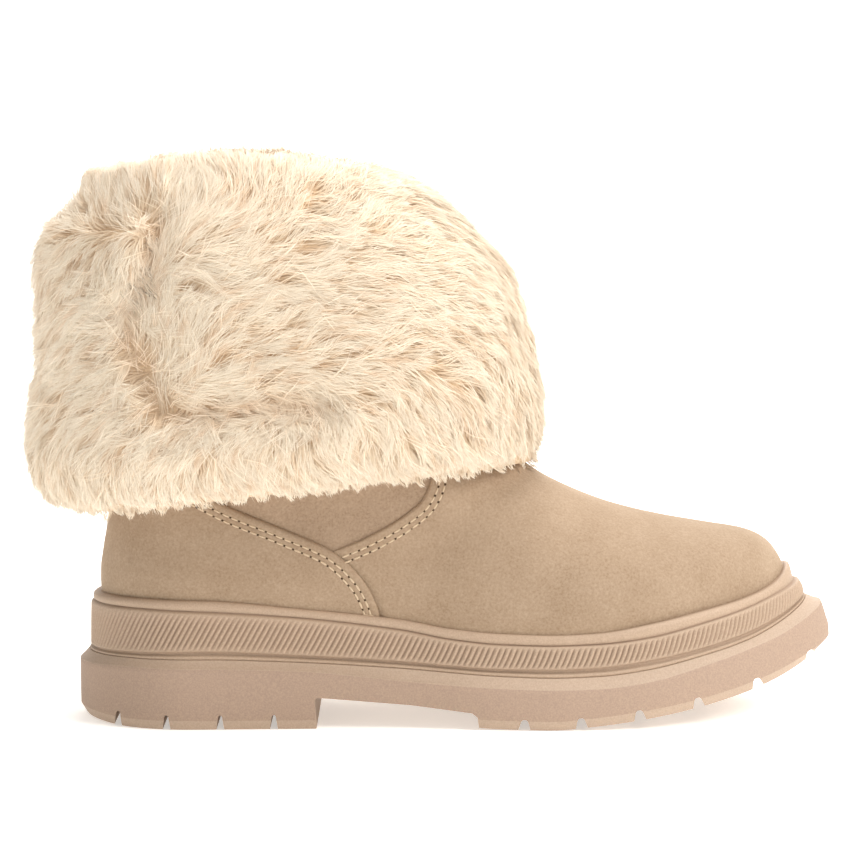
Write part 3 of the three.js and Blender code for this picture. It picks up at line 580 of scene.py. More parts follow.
# %% Skin tables
HOOPS = columns(
    "row back back_z front front_z heel_trim ball_trim half shaft follow back_round front_round",
    (0, 8.0, 46.9, 266.0, 53.6, 6.4, 6.2, 38, 0.0, 1.0, 35, 76),
    (1, 7.8, 51.5, 263.4, 58.4, 5.6, 5.2, 38, 0.0, 0.82, 35, 76),
    (2, 7.9, 56.0, 259.3, 63.2, 5.2, 5.2, 38, 0.05, 0.62, 35, 76),
    (3, 8.5, 60.5, 251.6, 67.0, 5.2, 6.4, 38, 0.12, 0.42, 35, 74),
    (4, 9.2, 65.0, 236.3, 69.9, 5.4, 9.0, 38, 0.22, 0.24, 35, 70),
    (5, 10.0, 69.5, 219.0, 73.1, 5.6, 12.5, 38, 0.37, 0.1, 35, 66),
    (6, 10.8, 75.0, 201.9, 77.3, 5.6, 16.5, 38, 0.56, 0, 36, 62),
    (7, 11.6, 81.5, 186.0, 83.2, 5.6, 20.0, 38.5, 0.76, 0, 37, 58),
    (8, 12.4, 88.0, 171.4, 90.6, 5.5, 22.0, 39, 0.9, 0, 39, 54),
    (9, 13.2, 98.0, 159.0, 101.0, 5.0, 22.0, 40, 1, 0, 43, 52),
    (10, 14.5, 119.0, 146.0, 121.0, 5.0, 22.0, 41, 1, 0, 48, 52),
    (11, 16.0, 148.0, 137.0, 149.0, 5.0, 22.0, 42, 1, 0, 54, 55),
    (12, 18.0, 184.0, 131.0, 183.0, 5.0, 22.0, 43, 1, 0, 56, 56),
)
TOP_HOOP = 12
HOOP_LIFT_POWER = 6
TRIM_START = 60
TRIM_END = 170


def skin_point(turn, row):
    turn, row = np.broadcast_arrays(np.asarray(turn, float), np.asarray(row, float))
    hoop = {name: read(HOOPS, name, row, "row") for name in HOOPS if name != "row"}
    along = along_of(turn)
    station = mix(hoop["back"], hoop["front"], along)
    trim = mix(hoop["heel_trim"], hoop["ball_trim"], smoothstep(TRIM_START, TRIM_END, station))
    half = mix(sole_half(turn, station) - trim, hoop["half"], hoop["shaft"])
    rounding = end_round(station, hoop["back"], hoop["front"], hoop["back_round"], hoop["front_round"])
    y = swing(station) + np.where(is_lateral(turn), -1, 1) * half * rounding
    lift = along ** HOOP_LIFT_POWER
    level = mix(hoop["back_z"], hoop["front_z"], lift)
    ends = [read(HEIGHTS, "feather", hoop[name]) for name in ("back", "front")]
    wave = read(HEIGHTS, "feather", station) - mix(ends[0], ends[1], lift)
    return np.stack([station - HEEL_SEAT_STATION, y, level + hoop["follow"] * wave], axis=-1)


def skin_normal(turn, row):
    step_turn, step_row = 0.003, 0.04
    round_about = skin_point(turn + step_turn, row) - skin_point(turn - step_turn, row)
    above, below = np.minimum(row + step_row, TOP_HOOP), np.maximum(row - step_row, 0)
    rise = skin_point(turn, above) - skin_point(turn, below)
    normal = np.cross(round_about, rise)
    return normal / np.maximum(np.linalg.norm(normal, axis=-1, keepdims=True), 1e-9)


def turn_at(station, row, lateral):
    """The turn at which a hoop passes a station, on one side."""
    back, front = read(HOOPS, "back", row, "row"), read(HOOPS, "front", row, "row")
    along = np.clip((station - back) / (front - back), 0, 1)
    turn = np.arccos(1 - 2 * along) / (2 * np.pi)
    return turn if lateral else 1 - turn


# %% [markdown]
# ## Creases
# Leather that has been pulled over a last is never quite even. A few broad, soft troughs and ridges are
# laid where a boot gives: over the flex line behind the toes, above the lip at the ball, and
# beside the heel. Each row is a centre, a direction, a length, a width, a depth in millimetres, and a
# side: -1 is the outer side, 1 the inner.

# %% Soft creases
CREASES = columns(
    "station height slope long wide depth side",
    (178, 62, 62, 17, 6.5, -0.55, -1),
    (190, 60, 66, 15, 6.0, 0.35, -1),
    (165, 57, 55, 13, 6.0, 0.30, -1),
    (214, 57, 35, 16, 6.5, -0.40, -1),
    (232, 60, 20, 14, 7.0, 0.30, -1),
    (150, 47, 8, 20, 5.0, -0.35, -1),
    (198, 46, 2, 24, 4.5, -0.35, -1),
    (36, 66, 80, 13, 9.0, -0.60, -1),
    (60, 57, 18, 22, 7.0, -0.40, -1),
    (22, 58, 70, 10, 6.0, 0.35, -1),
    (176, 62, 60, 17, 6.5, -0.50, 1),
    (196, 58, 66, 15, 6.0, 0.35, 1),
    (218, 57, 30, 16, 6.5, -0.35, 1),
    (140, 47, 5, 22, 5.0, -0.35, 1),
    (40, 64, 80, 13, 9.0, -0.55, 1),
    (72, 56, 10, 22, 7.0, -0.35, 1),
)


def crease_depth(points):
    """How far the creases move the skin out, at points in millimetres."""
    depth = np.zeros(points.shape[:-1])
    for k in range(len(CREASES["station"])):
        slope = math.radians(CREASES["slope"][k])
        across = points[..., 0] + HEEL_SEAT_STATION - CREASES["station"][k]
        up = points[..., 2] - CREASES["height"][k]
        lengthwise = (across * math.cos(slope) + up * math.sin(slope)) / CREASES["long"][k]
        crosswise = (up * math.cos(slope) - across * math.sin(slope)) / CREASES["wide"][k]
        same_side = smoothstep(-6, 14, points[..., 1] * CREASES["side"][k])
        depth += CREASES["depth"][k] * bell(lengthwise) * bell(crosswise) * same_side
    return depth


def skin_surface(turn, row, offset):
    """The skin moved out by an offset, with its creases."""
    at = skin_point(turn, row)
    creased = offset + crease_depth(at)
    return at + skin_normal(turn, row) * creased[..., None]


# %% [markdown]
# ## Brushed nubuck
# Nubuck is cowhide whose grain side has been sanded to a very short nap. It is matt, slightly lighter
# where the nap catches light at a glancing angle, and mottled where a hand has brushed it. Sheen gives
# the glancing light. The nap is about 0.3 mm, too fine for the picture, so it is drawn at 0.9 mm.

# %% Nubuck
NAP_MM = 0.9
NAP_SHARE = 2.6
MOTTLE_MM = 16


def nubuck_material(name, hex_colour, hex_shade):
    material, tree = new_material(name)
    object_place = add_node(tree, "ShaderNodeTexCoord").outputs["Object"]
    nap = add_node(tree, "ShaderNodeTexNoise", inputs={
        "Vector": object_place, "Scale": 1 / (NAP_MM * MM), "Detail": 3.0, "Roughness": 0.65})
    mottle = add_node(tree, "ShaderNodeTexNoise", inputs={
        "Vector": object_place, "Scale": 1 / (MOTTLE_MM * MM), "Detail": 3.0, "Roughness": 0.55})
    both = add_node(tree, "ShaderNodeMath", {"operation": "MULTIPLY_ADD"}, {
        0: nap.outputs["Fac"], 1: NAP_SHARE, 2: mottle.outputs["Fac"]})
    share = add_node(tree, "ShaderNodeMapRange", inputs={
        "Value": both.outputs[0], "From Min": 1.2, "From Max": 2.4})
    colour = add_node(tree, "ShaderNodeMix", {"data_type": "RGBA"}, {
        "Factor": share.outputs[0], "A": (*linear(hex_shade), 1), "B": (*linear(hex_colour), 1)})
    bump = add_node(tree, "ShaderNodeBump", inputs={
        "Height": nap.outputs["Fac"], "Strength": 0.2, "Distance": FINE_RELIEF})
    surface = add_node(tree, "ShaderNodeBsdfPrincipled", inputs={
        "Base Color": colour.outputs["Result"], "Roughness": 0.92, "IOR": 1.5,
        "Specular IOR Level": 0.2, "Sheen Weight": 0.25, "Sheen Roughness": 0.5,
        "Sheen Tint": (*linear("#f0dcc4"), 1), "Normal": bump.outputs[0]})
    finish_material(tree, surface)
    return material


nubuck = nubuck_material("brushed_tan_nubuck", "#ad9780", "#947d65")
side_nubuck = nubuck_material("brushed_tan_nubuck_side", "#ad967f", "#927b65")
print("leather finishes:", nubuck.name, side_nubuck.name)

# %% [markdown]
# ## The shell of the upper
# Under the panels runs one wall of leather, 2 mm thick, open at the shaft and closed below by the sole.
# Between the two overlaid panels it shows as the side panel. Its rows lie closer near the feather line,
# where the skin bends in most.

# %% Upper shell
# Thicknesses, and how deep the wall's outer face lies under the skin
WALL = 2.0
PANEL = 1.1
SKIN_TO_WALL = 1.4
SHELL_COLUMNS = 180
SHELL_FOOT = 1.2
shell_rows = np.concatenate([np.linspace(0, 2, 9), np.linspace(2.4, TOP_HOOP, 33)])


def skin_rings(rows, offset, count, foot=0.0):
    """Rings of the skin at an offset. With a foot, one more ring stands that far below the first."""
    turn = turns_of(count)[None, :]
    rings = skin_surface(turn, rows[:, None], np.full((1, 1), offset))
    if foot:
        lowest = rings[:1].copy()
        lowest[..., 2] -= foot
        rings = np.concatenate([lowest, rings])
    return rings


shell_rings = np.concatenate([
    skin_rings(shell_rows, -SKIN_TO_WALL, SHELL_COLUMNS, foot=SHELL_FOOT),
    skin_rings(shell_rows, -SKIN_TO_WALL - WALL, SHELL_COLUMNS, foot=SHELL_FOOT)[::-1],
])
place(sleeve_object("upper_shell", shell_rings, [side_nubuck]), "upper", "upper")

# %% [markdown]
# ## Overlaid panels
# The quarter wraps the heel and the vamp covers the toes. A maker folds their edges over, so an edge is
# rounded and a little puffed, and the thread pulls it down along each row of stitches. Each panel is a
# grid whose last columns follow its edge, and its height depends on the distance from that edge.

# %% Panel edges
# The edges in the side view, from bottom to top
QUARTER_EDGE = columns(
    "height station",
    (33, 112), (41.2, 110.6), (50.4, 107), (57.8, 101.5), (64.5, 93.9), (73.2, 75.4), (81, 56.8), (91, 38),
)
VAMP_EDGE = columns(
    "height station", (64.9, 93.9), (70.4, 107), (77.7, 119.8), (83.2, 126), (90, 129.2), (97, 130.6))
STITCH_ROWS_MM = (3.2, 5.4)
EDGE_COLUMNS_MM = 1.35 * np.array([
    0, 0.08, 0.2, 0.38, 0.6, 0.85, 1.15, 1.6, 2.1, 2.5, 2.8, 3.05, 3.3, 3.6, 4.0, 4.4,
    4.8, 5.1, 5.35, 5.6, 5.9, 6.4, 7.2, 8.4, 10.0, 12.5, 16.0])
PANEL_SINK = 0.15
PANEL_FOOT = 1.0
POINTS_AT_A_TIME = 20000


def edge_line(edge, low, high, count=160):
    height = np.linspace(low, high, count)
    return np.stack([read(edge, "station", height, "height"), height], axis=-1)


QUARTER_LINE = edge_line(QUARTER_EDGE, 33, 91)
VAMP_LINE = edge_line(VAMP_EDGE, 64.9, 97)


def distance_to(line, points):
    """The distance of points from a line in the side view, in millimetres."""
    flat = np.stack([points[..., 0] + HEEL_SEAT_STATION, points[..., 2]], axis=-1)
    shape = flat.shape[:-1]
    flat = flat.reshape(-1, 1, 2)
    nearest = np.full(len(flat), np.inf)
    starts, ends = line[:-1], line[1:]
    step = ends - starts
    length2 = (step ** 2).sum(axis=-1)
    for first in range(0, len(flat), POINTS_AT_A_TIME):
        part = flat[first:first + POINTS_AT_A_TIME]
        share = np.clip(((part - starts) * step).sum(axis=-1) / length2, 0, 1)
        gap = part - starts - step * share[..., None]
        nearest[first:first + POINTS_AT_A_TIME] = np.sqrt((gap ** 2).sum(axis=-1).min(axis=1))
    return nearest.reshape(shape)


def edge_profile(distance, rounding=1.1):
    """Height over the skin near a folded edge: a round fold, a puff, and two stitched troughs."""
    inside = np.clip(distance / rounding, 0, 1)
    fold = -PANEL + PANEL * np.sqrt(1 - (1 - inside) ** 2)
    puff = 0.16 * bell((distance - 1.7) / 1.1) + 0.06 * bell((distance - 4.3) / 0.7)
    thread = sum(-0.22 * bell((distance - row) / 0.42) for row in STITCH_ROWS_MM)
    return fold + (puff + thread) * np.clip(distance / 0.8, 0, 1)


def edge_turns(rows, edge, lateral):
    """The turn at which each row meets an edge line."""
    station = np.full(len(rows), 100.0)
    for _ in range(12):
        turn = turn_at(station, rows, lateral)
        height = skin_point(turn, rows)[:, 2]
        station = edge(height)
    return turn_at(station, rows, lateral)


def panel_turns(start, end, rows, count):
    """Turns of a panel's grid from one edge to the other, close together near both."""
    fine = 400
    share = np.linspace(0, 1, fine)
    turn = mix(start[:, None], end[:, None], share)
    points = skin_point(turn, rows[:, None])
    steps = np.linalg.norm(np.diff(points, axis=1), axis=-1)
    lengths = np.concatenate([np.zeros((len(rows), 1)), np.cumsum(steps, axis=1)], axis=1)
    near = EDGE_COLUMNS_MM
    result = []
    for k in range(len(rows)):
        total = lengths[k, -1]
        middle = np.linspace(near[-1], total - near[-1], count)[1:-1]
        wanted = np.concatenate([near, middle, (total - near)[::-1]])
        result.append(np.interp(wanted, lengths[k], turn[k]))
    return np.array(result)


# %% Panel bodies


def panel_object(name, start, end, rows, count, offset_of):
    """A closed sheet one panel thick. offset_of gives the height of its outer face at points."""
    turn = panel_turns(start, end, rows, count)
    row = np.broadcast_to(rows[:, None], turn.shape)
    outer = skin_surface(turn, row, offset_of(skin_point(turn, row)))
    inner = skin_surface(turn, row, np.full(turn.shape, -PANEL - PANEL_SINK))
    for sheet in (outer, inner):
        sheet[0, :, 2] -= PANEL_FOOT
    height, width = turn.shape
    points = np.concatenate([outer.reshape(-1, 3), inner.reshape(-1, 3)])
    behind = height * width
    faces = grid_quads(height, width, False)
    rim = np.concatenate([
        np.arange(width), np.arange(1, height) * width + width - 1,
        (height - 1) * width + np.arange(width - 1)[::-1], np.arange(1, height - 1)[::-1] * width])
    after = np.roll(rim, -1)
    sides = np.stack([rim, rim + behind, after + behind, after], axis=-1)
    quads = np.concatenate([faces, faces[:, ::-1] + behind, sides])
    return mesh_object(name, points, quads, (), [nubuck])


def quarter_front(height):
    return read(QUARTER_EDGE, "station", height, "height")


QUARTER_COLUMNS = 70
quarter_rows = np.concatenate([[0.0, 0.001], np.linspace(0.1, 8.6, 74)])
quarter_start = edge_turns(quarter_rows, quarter_front, True)
quarter_end = edge_turns(quarter_rows, quarter_front, False) - 1
quarter = panel_object(
    "quarter_panel_sewn", quarter_start, quarter_end, quarter_rows, QUARTER_COLUMNS,
    lambda at: edge_profile(distance_to(QUARTER_LINE, at)))
quarter.data.flip_normals()
place(quarter, "panel", "quarter_panel")

# %% Vamp
VAMP_TUCK = 3.0
VAMP_TUCK_DEPTH = 1.15
VAMP_OVERLAP = 0.5
VAMP_COLUMNS = 90


def vamp_back(height):
    """Where the vamp starts: tucked under the quarter below their crossing, at its own edge above."""
    low = quarter_front(height) - VAMP_OVERLAP
    high = read(VAMP_EDGE, "station", height, "height")
    return np.where(height < VAMP_EDGE["height"][0], low, high)


def vamp_offset(at):
    from_quarter = distance_to(QUARTER_LINE, at)
    from_edge = distance_to(VAMP_LINE, at)
    tuck = -VAMP_TUCK_DEPTH * (1 - smoothstep(-0.6, VAMP_TUCK, from_quarter)) ** 2
    return np.minimum(edge_profile(from_edge), tuck)


vamp_rows = np.concatenate([[0.0, 0.001], np.linspace(0.1, 9.2, 70)])
vamp_start = edge_turns(vamp_rows, vamp_back, True)
vamp_end = edge_turns(vamp_rows, vamp_back, False)
vamp = panel_object("vamp_panel_sewn", vamp_start, vamp_end, vamp_rows, VAMP_COLUMNS, vamp_offset)
place(vamp, "panel", "vamp_panel")

# %% [markdown]
# ## Stitches
# Two rows of lockstitch hold each edge, with a stitch about every 3.5 mm. Thread is a small rounded
# grain that dives into the leather at both ends, and a dark dot between two of them is painted shade in
# a needle hole. All stitches are one joined mesh, because hundreds of objects would only slow Blender down.

# %% Thread and needle holes


def plain_material(name, hex_colour, roughness, sheen=0.0):
    material, tree = new_material(name)
    surface = add_node(tree, "ShaderNodeBsdfPrincipled", inputs={
        "Base Color": (*linear(hex_colour), 1), "Roughness": roughness, "IOR": 1.5,
        "Specular IOR Level": 0.25, "Sheen Weight": sheen})
    finish_material(tree, surface)
    return material


cotton_thread = plain_material("waxed_cotton_thread", "#ccb699", 0.75, 0.2)
# A needle hole is a dark grain of painted shade.
needle_shadow = plain_material("needle_hole_shade", "#4a382a", 0.95)
STITCH_PITCH = 3.5
THREAD = {"length": 2.9, "width": 0.75, "height": 0.62}
HOLE = {"length": 1.05, "width": 0.85, "height": 0.34}


def skin_where(station, height, lateral):
    """The turn and row of the skin at a station and height on one side, by halving."""
    low, high = np.zeros(len(station)), np.full(len(station), 10.0)
    for _ in range(24):
        row = (low + high) / 2
        above = skin_point(turn_at(station, row, lateral), row)[:, 2] > height
        low, high = np.where(above, low, row), np.where(above, row, high)
    return turn_at(station, row, lateral), row


def inside_line(line, offset, side):
    """The line moved sideways by an offset in the side view, cut into stitch places."""
    step = np.gradient(line, axis=0)
    normal = np.stack([-step[:, 1], step[:, 0]], axis=-1) * side
    moved = line + normal / np.linalg.norm(normal, axis=1, keepdims=True) * offset
    lengths = np.concatenate([[0], np.cumsum(np.linalg.norm(np.diff(moved, axis=0), axis=1))])
    count = int(lengths[-1] / STITCH_PITCH)
    places = (np.arange(count) + 0.5) * STITCH_PITCH
    return [np.stack([np.interp(places + shift, lengths, moved[:, axis]) for axis in (0, 1)], axis=-1)
            for shift in (-0.1, 0.1)]


def grain_shape(rings=5, sides=8):
    """A rounded grain, one unit long, wide and high."""
    along = -np.cos(np.linspace(0, np.pi, rings + 2))[1:-1] / 2
    radius = np.sqrt(0.25 - along ** 2)
    angle = np.arange(sides) / sides * 2 * np.pi
    body = np.stack([np.repeat(along, sides), np.outer(radius, np.cos(angle)).ravel(),
                     np.outer(radius, np.sin(angle)).ravel()], axis=-1)
    points = np.concatenate([body, [[-0.5, 0, 0], [0.5, 0, 0]]])
    last, side = (rings - 1) * sides, np.arange(sides)
    after = (side + 1) % sides
    tips = np.concatenate([
        np.stack([after, side, np.full(sides, rings * sides)], axis=-1),
        np.stack([last + side, last + after, np.full(sides, rings * sides + 1)], axis=-1)])
    return points, grid_quads(rings, sides, True), tips


def scatter_grains(centres, along, out, size):
    points, quads, tips = grain_shape()
    across = np.cross(out, along)
    frames = np.stack([along * size["length"], across * size["width"], out * size["height"]], axis=1)
    placed = centres[:, None, :] + np.einsum("pk,nkc->npc", points, frames)
    shift = (np.arange(len(centres)) * len(points))[:, None, None]
    return placed.reshape(-1, 3), (quads + shift).reshape(-1, 4), (tips + shift).reshape(-1, 3)


def stitch_frames(line, side, lift):
    places, along, out = [], [], []
    for lateral in (True, False):
        for offset in STITCH_ROWS_MM:
            before, after = inside_line(line, offset, side)
            turn_a, row_a = skin_where(before[:, 0], before[:, 1], lateral)
            turn_b, row_b = skin_where(after[:, 0], after[:, 1], lateral)
            high = np.full(len(turn_a), lift)
            a, b = skin_surface(turn_a, row_a, high), skin_surface(turn_b, row_b, high)
            places.append((a + b) / 2)
            along.append((b - a) / np.linalg.norm(b - a, axis=1, keepdims=True))
            out.append(skin_normal(turn_a, row_a))
    return np.concatenate(places), np.concatenate(along), np.concatenate(out)


SEAMS = [(QUARTER_LINE[12:], 1), (VAMP_LINE[3:], -1)]
for name, material, size, lift, shift in (
    ("seam_stitches", cotton_thread, THREAD, -0.12, 0.0),
    ("needle_hole_shade_dots", needle_shadow, HOLE, -0.16, STITCH_PITCH / 2),
):
    frames = [stitch_frames(line, side, lift) for line, side in SEAMS]
    centres, along, out = (np.concatenate([frame_part[k] for frame_part in frames]) for k in range(3))
    grains = scatter_grains(centres + along * shift, along, out, size)
    place(mesh_object(name, *grains, [material]), "panel")

# %% [markdown]
# ## Sheepskin inside
# The boot is lined with sheepskin shorn to about 8 mm, and the footbed is covered with the same. Down
# there only a soft, crumbly pile shows, so a noisy surface with a pile bump is enough.

# %% Footbed and lining
PILE_MM = 2.6
fleece, fleece_tree = new_material("shorn_sheepskin_pile")
fleece_place = add_node(fleece_tree, "ShaderNodeTexCoord").outputs["Object"]
pile = add_node(fleece_tree, "ShaderNodeTexNoise", inputs={
    "Vector": fleece_place, "Scale": 1 / (PILE_MM * MM), "Detail": 4.0, "Roughness": 0.7})
fleece_colour = add_node(fleece_tree, "ShaderNodeMix", {"data_type": "RGBA"}, {
    "Factor": pile.outputs["Fac"], "A": (*linear("#c9ab87"), 1), "B": (*linear("#f6e8d4"), 1)})
fleece_bump = add_node(fleece_tree, "ShaderNodeBump", inputs={
    "Height": pile.outputs["Fac"], "Strength": 0.7, "Distance": 0.002})
finish_material(fleece_tree, add_node(fleece_tree, "ShaderNodeBsdfPrincipled", inputs={
    "Base Color": fleece_colour.outputs["Result"], "Roughness": 0.95, "Specular IOR Level": 0.1,
    "Sheen Weight": 0.4, "Normal": fleece_bump.outputs[0]}))

FOOTBED_COLUMNS = 160
INSOLE_INSET = SKIN_TO_WALL + WALL + 0.6
FOOTBED_EDGE = columns("inset rise", (0, 0), (0.1, 1.6), (0.7, 2.7), (2.0, 3.2), (5.0, 3.3))
footbed_rings = np.array([
    skin_rings(np.array([0.0]), -INSOLE_INSET - inset, FOOTBED_COLUMNS)[0]
    for inset in FOOTBED_EDGE["inset"]])
footbed_rings[..., 2] = (
    read(HEIGHTS, "feather", footbed_rings[..., 0] + HEEL_SEAT_STATION) + FOOTBED_EDGE["rise"][:, None])
place(stack_object("footbed_pile", footbed_rings, [fleece]), "insole", "insole")

LINING_GAP = 0.15
LINING_THICKNESS = 1.6
LINING_COLUMNS = 140
lining_rows = np.linspace(0.9, 11.0, 40)
lining_out = skin_rings(lining_rows, -SKIN_TO_WALL - WALL - LINING_GAP, LINING_COLUMNS)
lining_in = skin_rings(lining_rows, -SKIN_TO_WALL - WALL - LINING_GAP - LINING_THICKNESS, LINING_COLUMNS)
place(sleeve_object("fleece_lining", np.concatenate([lining_out, lining_in[::-1]]), [fleece]), "fur")

# %% [markdown]
# ## The cuff
# The shaft is made longer than the leg and its top is turned down, so the fur that lined it now faces
# out. The cuff is a rounded sleeve given by hoops, from its hem outside, over the rim, and down into the
# mouth. On the outer side the turned flap laps over itself, which leaves a crease and a roll beside it.

# %% Cuff tables
CUFF_HOOPS = columns(
    "row back back_z front front_z half arch",
    (-2, 6.5, 66.5, 178.0, 87.5, 42.5, 3),
    (-1, 5.5, 71.0, 175.0, 90.5, 45.0, 3),
    (0, 3.0, 76.0, 171.4, 95.0, 50, 2.5),
    (1, -8.0, 79.5, 172.6, 100.0, 62, 1.5),
    (2, -15.5, 88.0, 173.4, 108.0, 69, 0),
    (3, -19.0, 100.0, 173.6, 117.0, 71.5, 0),
    (4, -17.8, 114.0, 172.2, 127.0, 72, 0),
    (5, -15.4, 131.0, 169.6, 140.0, 71.5, 0),
    (6, -14.6, 150.0, 165.8, 154.0, 70, 0),
    (7, -15.4, 167.0, 161.5, 166.0, 67.5, 1),
    (8, -13.5, 179.0, 153.0, 176.0, 64, 3),
    (9, -5.5, 186.5, 143.5, 185.5, 59, 6),
    (10, 1.0, 195.0, 132.0, 195.0, 53, 8),
    (11, 5.5, 202.5, 118.0, 202.0, 45.5, 8),
    (12, 16.0, 201.5, 108.0, 200.5, 38, 6),
    (13, 25.5, 191.0, 106.0, 190.0, 33, 3),
    (14, 28.0, 172.0, 116.0, 171.0, 32.5, 0),
    (15, 25.5, 154.0, 126.0, 153.0, 34.5, 0),
)
CUFF_BACK_ROUND = 0.42
CUFF_FRONT_ROUND = 0.47
LAP_LINE = np.array([
    (31, 186), (28, 172), (25, 162), (19, 154), (21, 144), (25, 133), (30, 123), (37, 118.5), (50, 120),
    (70, 121), (86, 121)], float)
LAP = {"trough": 4, "trough_width": 6, "roll": 4, "roll_offset": 13, "roll_width": 9}
LAST_OUTER_ROW = 12


def from_lap(station, height):
    """The signed distance from the lap line: positive on the flap that lies on top."""
    nearest = np.full(np.shape(station), np.inf)
    sign = np.ones(np.shape(station))
    for (ax, az), (bx, bz) in zip(LAP_LINE[:-1], LAP_LINE[1:]):
        length2 = (bx - ax) ** 2 + (bz - az) ** 2
        share = np.clip(((station - ax) * (bx - ax) + (height - az) * (bz - az)) / length2, 0, 1)
        dx, dz = station - mix(ax, bx, share), height - mix(az, bz, share)
        distance = np.hypot(dx, dz)
        side = np.where((bx - ax) * dz - (bz - az) * dx > 0, 1, -1)
        sign = np.where(distance < nearest, side, sign)
        nearest = np.minimum(distance, nearest)
    return -sign * nearest


def cuff_point(turn, row):
    turn, row = np.broadcast_arrays(np.asarray(turn, float), np.asarray(row, float))
    hoop = {name: read(CUFF_HOOPS, name, row, "row") for name in CUFF_HOOPS if name != "row"}
    along = along_of(turn)
    station = mix(hoop["back"], hoop["front"], along)
    length = hoop["front"] - hoop["back"]
    rounding = end_round(
        station, hoop["back"], hoop["front"], length * CUFF_BACK_ROUND, length * CUFF_FRONT_ROUND)
    height = mix(hoop["back_z"], hoop["front_z"], along) + hoop["arch"] * np.sin(np.pi * along)
    outward = from_lap(station, height)
    lap = (LAP["roll"] * bell((outward - LAP["roll_offset"]) / LAP["roll_width"])
           - LAP["trough"] * bell(outward / LAP["trough_width"]))
    below_rim = 1 - smoothstep(LAST_OUTER_ROW - 1, LAST_OUTER_ROW, row)
    lap = np.where(is_lateral(turn), lap * rounding, 0) * below_rim
    half = hoop["half"] * rounding + lap
    return np.stack([station - HEEL_SEAT_STATION, np.where(is_lateral(turn), -half, half), height], axis=-1)


# %% A fine net over the cuff
# Hairs look their place up in this net, which is quicker than working the hoops out again.
NET_TURNS = 360
NET_ROWS = np.linspace(-2, 15, 171)
net_turn, net_row = np.meshgrid(turns_of(NET_TURNS), NET_ROWS, indexing="ij")
net = cuff_point(net_turn, net_row)
net_around = (np.roll(net, -1, axis=0) - np.roll(net, 1, axis=0)) * NET_TURNS / 2
net_up = np.gradient(net, NET_ROWS, axis=1)
net_normal = np.cross(net_around, net_up)
net_normal /= np.linalg.norm(net_normal, axis=-1, keepdims=True)
net_per_turn = np.linalg.norm(net_around, axis=-1)
net_per_row = np.linalg.norm(net_up, axis=-1)
print("net over the cuff:", net_turn.shape)


def look_up(values, turn, row):
    """Reads a net of values at any turn and row."""
    x = (turn % 1) * NET_TURNS
    y = np.clip((row - NET_ROWS[0]) / (NET_ROWS[1] - NET_ROWS[0]), 0, len(NET_ROWS) - 1.001)
    i, j = np.floor(x).astype(int) % NET_TURNS, np.floor(y).astype(int)
    u, v = x - np.floor(x), y - j
    if values.ndim == 3:
        u, v = u[..., None], v[..., None]
    after = (i + 1) % NET_TURNS
    return mix(mix(values[i, j], values[after, j], u), mix(values[i, j + 1], values[after, j + 1], u), v)


# %% [markdown]
# ## Woolly ground
# Under the long hair lies the dense woolly ground of the skin. It is a plain closed sleeve that lies a few
# millimetres inside the cuff's form, in the warm tan that shows between the locks. Wool crimps every
# millimetre or two, which gives its noise the same scale.

# %% Woolly ground
GROUND_DEPTH = 3.6
CUFF_COLUMNS = 150
WOOL_MM = 1.6
ground_wool, wool_tree = new_material("sheepskin_ground_wool")
wool_place = add_node(wool_tree, "ShaderNodeTexCoord").outputs["Object"]
wool = add_node(wool_tree, "ShaderNodeTexNoise", inputs={
    "Vector": wool_place, "Scale": 1 / (WOOL_MM * MM), "Detail": 4.0, "Roughness": 0.7})
wool_colour = add_node(wool_tree, "ShaderNodeMix", {"data_type": "RGBA"}, {
    "Factor": wool.outputs["Fac"], "A": (*linear("#d0b08a"), 1), "B": (*linear("#e2d0b4"), 1)})
# The faint glow is painted light that lifts the shade between the locks.
finish_material(wool_tree, add_node(wool_tree, "ShaderNodeBsdfPrincipled", inputs={
    "Base Color": wool_colour.outputs["Result"], "Roughness": 1.0, "Specular IOR Level": 0.05,
    "Emission Color": (*linear("#dfbd9a"), 1), "Emission Strength": 0.12}))

ground_rows = np.linspace(0, 15, 61)
ground_turn = turns_of(CUFF_COLUMNS)[None, :]
ground_inset = GROUND_DEPTH * smoothstep(-1.5, 1.5, ground_rows)[:, None, None]
ground_out = (look_up(net, ground_turn, ground_rows[:, None])
              - look_up(net_normal, ground_turn, ground_rows[:, None]) * ground_inset)
CUFF_CLEARANCE = 0.8
wall_out, wall_in = -SKIN_TO_WALL + CUFF_CLEARANCE, -SKIN_TO_WALL - WALL - CUFF_CLEARANCE
shaft_side = [
    skin_rings(np.array([11.05, 11.6, 12.0]), wall_in, CUFF_COLUMNS),
    skin_rings(np.array([12.0, 11.5, 11.0, 10.5, 10.0, 9.6]), wall_out, CUFF_COLUMNS),
    skin_rings(np.array([9.4, 9.0, 8.7, 8.45]), CUFF_CLEARANCE, CUFF_COLUMNS),
]
shaft_side[0][-1, :, 2] += CUFF_CLEARANCE
shaft_side[1][0, :, 2] += CUFF_CLEARANCE
ground = sleeve_object("cuff_ground", np.concatenate([ground_out, *shaft_side]), [ground_wool])
place(ground, "fur", "fur_cuff")

# %% [markdown]
# ## How the fur is combed
# Long sheepskin hair lies the way it was last stroked. A small chart of arrows for each side says it: a
# row is a place in the side view, the lean towards the toe and the lean upwards. Between the arrows the
# lean is blended with bell-shaped weights, so neighbouring hairs agree.

